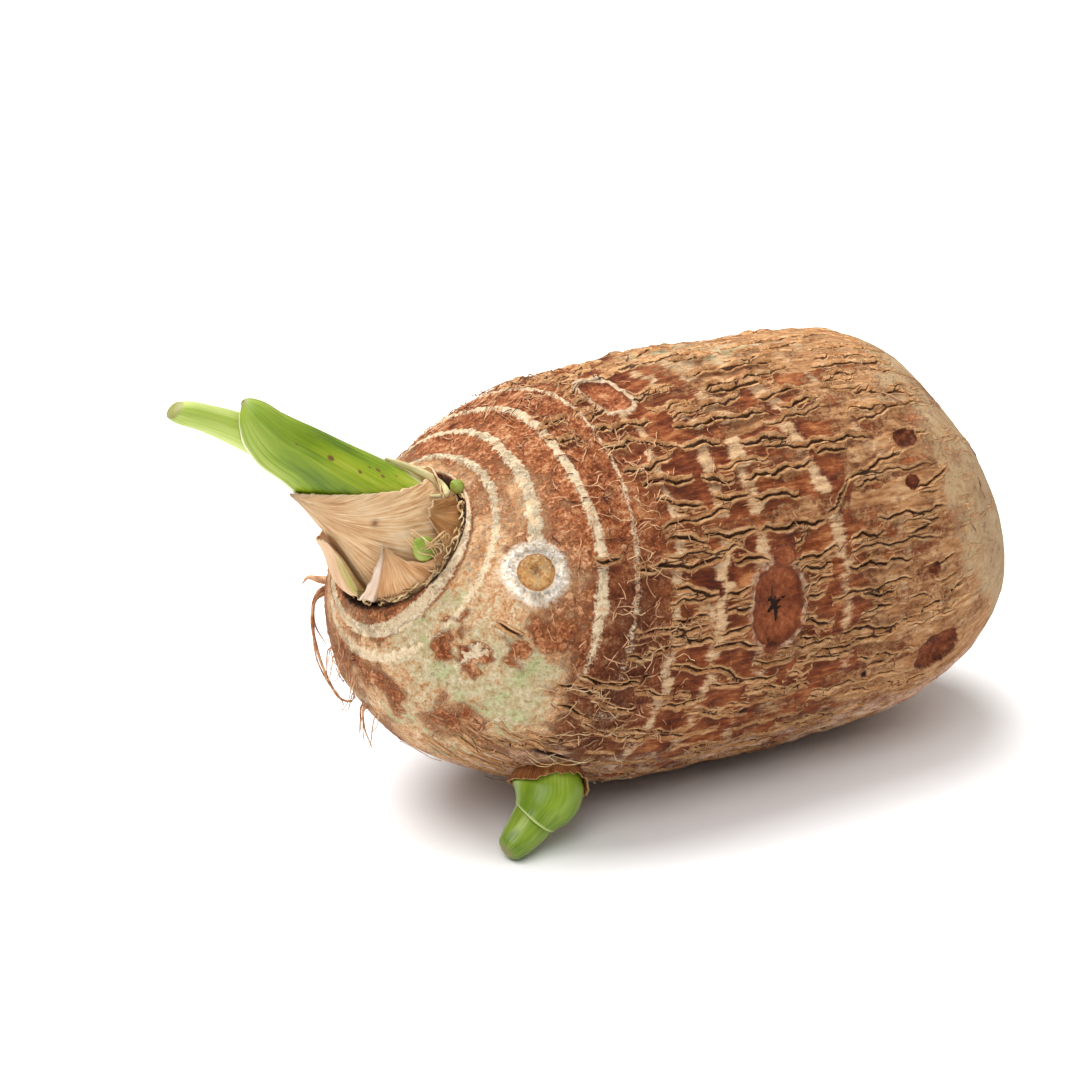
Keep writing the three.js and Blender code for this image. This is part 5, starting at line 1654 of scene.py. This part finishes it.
def bent_and_pressed(tree, given, lines):
    place = add(tree, "GeometryNodeInputPosition").outputs[0]
    own = add(tree, "GeometryNodeInputNamedAttribute", {"Name": "own_shift"},
              data_type="FLOAT_VECTOR")
    moved = add(tree, "ShaderNodeVectorMath", {0: place, 1: own.outputs["Attribute"]})
    wave = add(tree, "ShaderNodeTexNoise", {
        "Vector": moved.outputs[0], "Scale": THREAD_WAVES, "Detail": 1.0})
    centred = add(tree, "ShaderNodeVectorMath", {0: wave.outputs["Color"], 1: (0.5, 0.5, 0.5)},
                  operation="SUBTRACT")
    bend = add(tree, "ShaderNodeVectorMath", {0: centred.outputs[0], "Scale": given["Curl"]},
               operation="SCALE")
    bent = add(tree, "GeometryNodeSetPosition", {"Geometry": lines, "Offset": bend.outputs[0]})
    near = add(tree, "GeometryNodeProximity", {0: given["Surface"]}, target_element="FACES")
    normal = add(tree, "GeometryNodeSampleNearestSurface", {
        "Mesh": given["Surface"], "Value": add(tree, "GeometryNodeInputNormal").outputs[0]},
        data_type="FLOAT_VECTOR")
    lift = product(tree, wave.outputs["Fac"], given["Lift"])
    raised = add(tree, "ShaderNodeVectorMath", {0: normal.outputs[0], "Scale": lift},
                 operation="SCALE")
    pressed = add(tree, "ShaderNodeVectorMath", {0: near.outputs["Position"], 1: raised.outputs[0]})
    return add(tree, "GeometryNodeSetPosition", {
        "Geometry": bent.outputs[0], "Position": pressed.outputs[0]}).outputs[0]


def thread_tree(name, material, density_field):
    """The whole tree, and the identifier of each of its inputs."""
    tree = bpy.data.node_groups.new(name, "GeometryNodeTree")
    tree.interface.new_socket("Geometry", in_out="OUTPUT", socket_type="NodeSocketGeometry")
    names = {}
    for label, kind, default in THREAD_INPUTS:
        socket = tree.interface.new_socket(label, in_out="INPUT", socket_type=kind)
        names[label] = socket.identifier
        if default is not None:
            socket.default_value = default
    given = tree.nodes.new("NodeGroupInput").outputs
    threads = bent_and_pressed(tree, given, scattered_lines(tree, given, density_field))
    section = add(tree, "GeometryNodeCurvePrimitiveCircle", {
        "Resolution": 3, "Radius": given["Thickness"]})
    tube = add(tree, "GeometryNodeCurveToMesh", {
        "Curve": threads, "Profile Curve": section.outputs[0], "Fill Caps": True})
    painted = add(tree, "GeometryNodeSetMaterial", {
        "Geometry": tube.outputs[0], "Material": material})
    tree.links.new(painted.outputs[0], tree.nodes.new("NodeGroupOutput").inputs[0])
    print(name + ":", len(tree.nodes), "nodes")
    return tree, names


def grown_on(surface, name, tree, names, sizes):
    """A plain mesh of what a tree grows on a surface."""
    holder = bpy.data.objects.new("holder", surface.data)
    bpy.context.scene.collection.objects.link(holder)
    modifier = holder.modifiers.new("grow", "NODES")
    modifier.node_group = tree
    for label, value in sizes.items():
        modifier[names[label]] = value
    graph = bpy.context.evaluated_depsgraph_get()
    mesh = bpy.data.meshes.new_from_object(holder.evaluated_get(graph), depsgraph=graph)
    bpy.data.objects.remove(holder)
    for attribute in [a for a in mesh.attributes if a.name == "own_shift"]:
        mesh.attributes.remove(attribute)
    mesh.name = name
    piece = bpy.data.objects.new(name, mesh)
    bpy.context.scene.collection.objects.link(piece)
    print(name + ":", sum(len(p.vertices) - 2 for p in mesh.polygons), "triangles")
    return piece


# %% [markdown]
# Dead fibres are pale straw where they are clean and brown where they are old. They have no
# gloss, and they vary from place to place. Short ones cover the bark of the crown, but hardly
# the rings, scars and rubbed skin, and long ones tangle where the bark is darkest.

# %% Threads on the bark
def straw(name, *stops):
    """A dry, matt fibre whose colour drifts every few millimetres."""
    material, tree, shader = new_finish(name, Roughness=0.75, IOR=1.5, Specular_IOR_Level=0.25)
    place = add(tree, "ShaderNodeTexCoord").outputs["Object"]
    change = noise(tree, place, 2.2, detail=3)
    tree.links.new(tint(tree, change, *stops), shader.inputs["Base Color"])
    return material


long_straw = straw("long_straw_fibre", (0.3, "#8A5C3C"), (0.45, "#B98D62"), (0.6, "#DDBF93"))
short_straw = straw("short_bark_fibre", (0.34, "#4A2012"), (0.45, "#8E5636"), (0.56, "#CFA078"))

threads = np.clip(bark, 0, 1) * (1 - ring * 0.5) * (1 - scar) * (1 - button) * (1 - halo)
threads = threads * smooth(X, -80, -70) * (0.08 + 0.92 * (1 - smooth(X, -52, -20)))
threads = threads * (1 - 0.7 * rubbed) * smooth(from_belly, 15, 40)
tangle = bell((X + 50) / 11) * (0.35 + 0.65 * bell(turned(DEGREES, 5) / 45)) * (1 - halo)
for key, values in (("threads", threads), ("tangle", tangle)):
    attribute = corm.data.attributes.new(key, "FLOAT", "POINT")
    attribute.data.foreach_set("value", padded_field(values, 0.0).astype(np.float32))

short_tree, short_names = thread_tree("short_threads", short_straw, "threads")
short_fibres = grown_on(corm, "bark_fibres", short_tree, short_names, {
    "Density": 90000.0, "Length": 4.6 * MM, "Thickness": 0.15 * MM, "Curl": 3.4 * MM,
    "Lift": 0.8 * MM, "Steps": 7, "Seed": 3})
long_tree, long_names = thread_tree("long_threads", long_straw, "tangle")
long_fibres = grown_on(corm, "tangled_fibres", long_tree, long_names, {
    "Density": 24000.0, "Length": 10.5 * MM, "Thickness": 0.11 * MM, "Curl": 6.0 * MM,
    "Lift": 2.0 * MM, "Steps": 12, "Seed": 8})
for piece in (short_fibres, long_fibres):
    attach(piece, "root")

# %% [markdown]
# ## Dead roots
# A tuft of dry roots hangs from the crown's back corner, and finer ones hang below it. The thick
# ones are listed one by one and repeat the imported model's, and hairs are drawn with a fixed seed.

# %% Dead roots
TUFT = [        # points from root to tip (mm), radii
    ([(-89.5, 17, 56.5), (-93, 18.6, 54.5), (-95.4, 17.6, 49), (-95.8, 14.8, 42),
      (-94.9, 11.8, 35.4), (-93.2, 8.8, 30.6), (-90.9, 7, 30.2), (-90.4, 7.5, 34),
      (-91.2, 9, 39)], (0.8, 0.5, 0.42, 0.4, 0.36, 0.34, 0.3, 0.2, 0.1)),
    ([(-89.8, 17.4, 55.5), (-94, 18, 53), (-94.6, 18.2, 47), (-96.5, 14.2, 40.5),
      (-94.4, 12.6, 34), (-94, 8.4, 32), (-92.2, 8.8, 28.6)],
     (0.45, 0.34, 0.28, 0.25, 0.22, 0.2, 0.1)),
    ([(-89, 16.6, 57.2), (-92.6, 18.6, 57.8), (-95, 19.8, 58.4), (-96.6, 19.6, 57.2)],
     (1.5, 1, 0.55, 0.15)),
    ([(-90, 18.6, 54), (-92.6, 20.4, 52), (-92.9, 20.6, 46), (-91.2, 18.4, 41)],
     (0.4, 0.3, 0.24, 0.12)),
]
LOW_STRANDS = [
    ([(-86.6, 4, 32.4), (-89.4, 4.4, 29), (-90, 3.4, 24.4), (-88.4, 2.6, 19)],
     (0.55, 0.34, 0.26, 0.14)),
    ([(-86.6, 5, 31), (-88.4, 7, 28.4), (-88, 8.6, 23.6), (-88.6, 8.4, 20)],
     (0.4, 0.26, 0.2, 0.1)),
]


def hanging_hairs(count, stations, angles, seed):
    """Fine roots that leave the skin, then bend down."""
    random = np.random.default_rng(seed)
    rows = []
    for _ in range(count):
        x, degrees = random.uniform(*stations), random.uniform(*angles)
        start, lifted = (skin_point(x, np.radians(degrees), h)
                         for h in (-0.3, random.uniform(0.5, 1.6)))
        drop = np.array([-random.uniform(0, 1.8), random.normal(0, 0.9), -random.uniform(2.5, 7)])
        curl = np.array([random.normal(0, 2.0), random.normal(0, 1.4), -random.uniform(-1, 4.0)])
        rows.append(([start, lifted, lifted + drop, lifted + drop + curl], (0.2, 0.15, 0.12, 0.06)))
    return rows


dead_root = straw("dead_root", (0.3, "#6A3A24"), (0.45, "#A06C48"), (0.6, "#CBA27C"))
for name, node_name, rows in (
        ("dry_root_tuft", "root_tuft", TUFT + hanging_hairs(11, (-84, -79), (-120, -84), 41)),
        ("dry_low_roots", "root_strand", LOW_STRANDS + hanging_hairs(7, (-80, -72), (-108, -80), 42))):
    roots = strands(name, rows, samples=30)
    roots.data.materials.append(dead_root)
    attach(roots, "root")
    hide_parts(node_name)
    print(name + ":", len(rows), "strands")

# %% [markdown]
# ## Loose straw
# Broken bits of straw lie in the groove round the shoot and over the front bud, and a few threads
# arch over the crevice above the side shoot.

# %% Loose straw
def groove_straw(count, seed):
    """Short bits that lie round the shoot, in the groove between sheath and socket."""
    random = np.random.default_rng(seed)
    rows = []
    for _ in range(count):
        start, turn = random.uniform(-125, 60), random.uniform(4, 16)
        off, rise = random.uniform(2.9, 4.2), random.uniform(-0.4, 0.9)
        path = []
        for share in (0, 0.35, 0.7, 1):
            inset = 0.9 * bell(turned(start + turn * share, -65) / 48)
            path.append(off_stalk(rise + random.normal(0, 0.35), start + turn * share,
                                  off - inset + random.normal(0, 0.25)))
        rows.append((path, (0.12, 0.26, 0.22, 0.1)))
    return rows


def bud_net(count, seed):
    """Thin straw across the front bud."""
    random = np.random.default_rng(seed)
    rows = []
    for _ in range(count):
        start, end = random.uniform(-14, 6), random.uniform(-8, 14)
        high, low = random.uniform(9.0, 11.0), random.uniform(1.5, 4.0)
        rows.append(([off_stalk(high, start, 2.4), off_stalk(0.65 * high + 0.35 * low, start, 5.0),
                      off_stalk(0.35 * high + 0.65 * low, end, 5.2), off_stalk(low, end, 3.0)],
                     (0.14, 0.17, 0.15, 0.1)))
    return rows


def arches(count, seed):
    """Threads that arch over the crevice above the side shoot."""
    random = np.random.default_rng(seed)
    rows = []
    for _ in range(count):
        x, degrees = random.uniform(-61, -55), random.uniform(-52, -46)
        reach = random.uniform(4, 10)
        rows.append(([skin_point(x + reach * s, np.radians(degrees + 5 * s), h)
                      for s, h in ((0, -0.2), (0.3, random.uniform(0.8, 2.2)),
                                   (0.7, random.uniform(0.8, 2.2)), (1, -0.2))],
                     (0.08, 0.12, 0.1, 0.06)))
    return rows


pale_straw = straw("pale_loose_straw", (0.3, "#8F6A42"), (0.45, "#BF9C6C"), (0.6, "#DFC79C"))
loose = strands("loose_straw", groove_straw(70, 51) + bud_net(9, 52) + arches(5, 53), samples=14)
loose.data.materials.append(pale_straw)
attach(loose, "root")
print("loose straw:", len(loose.data.polygons), "faces")
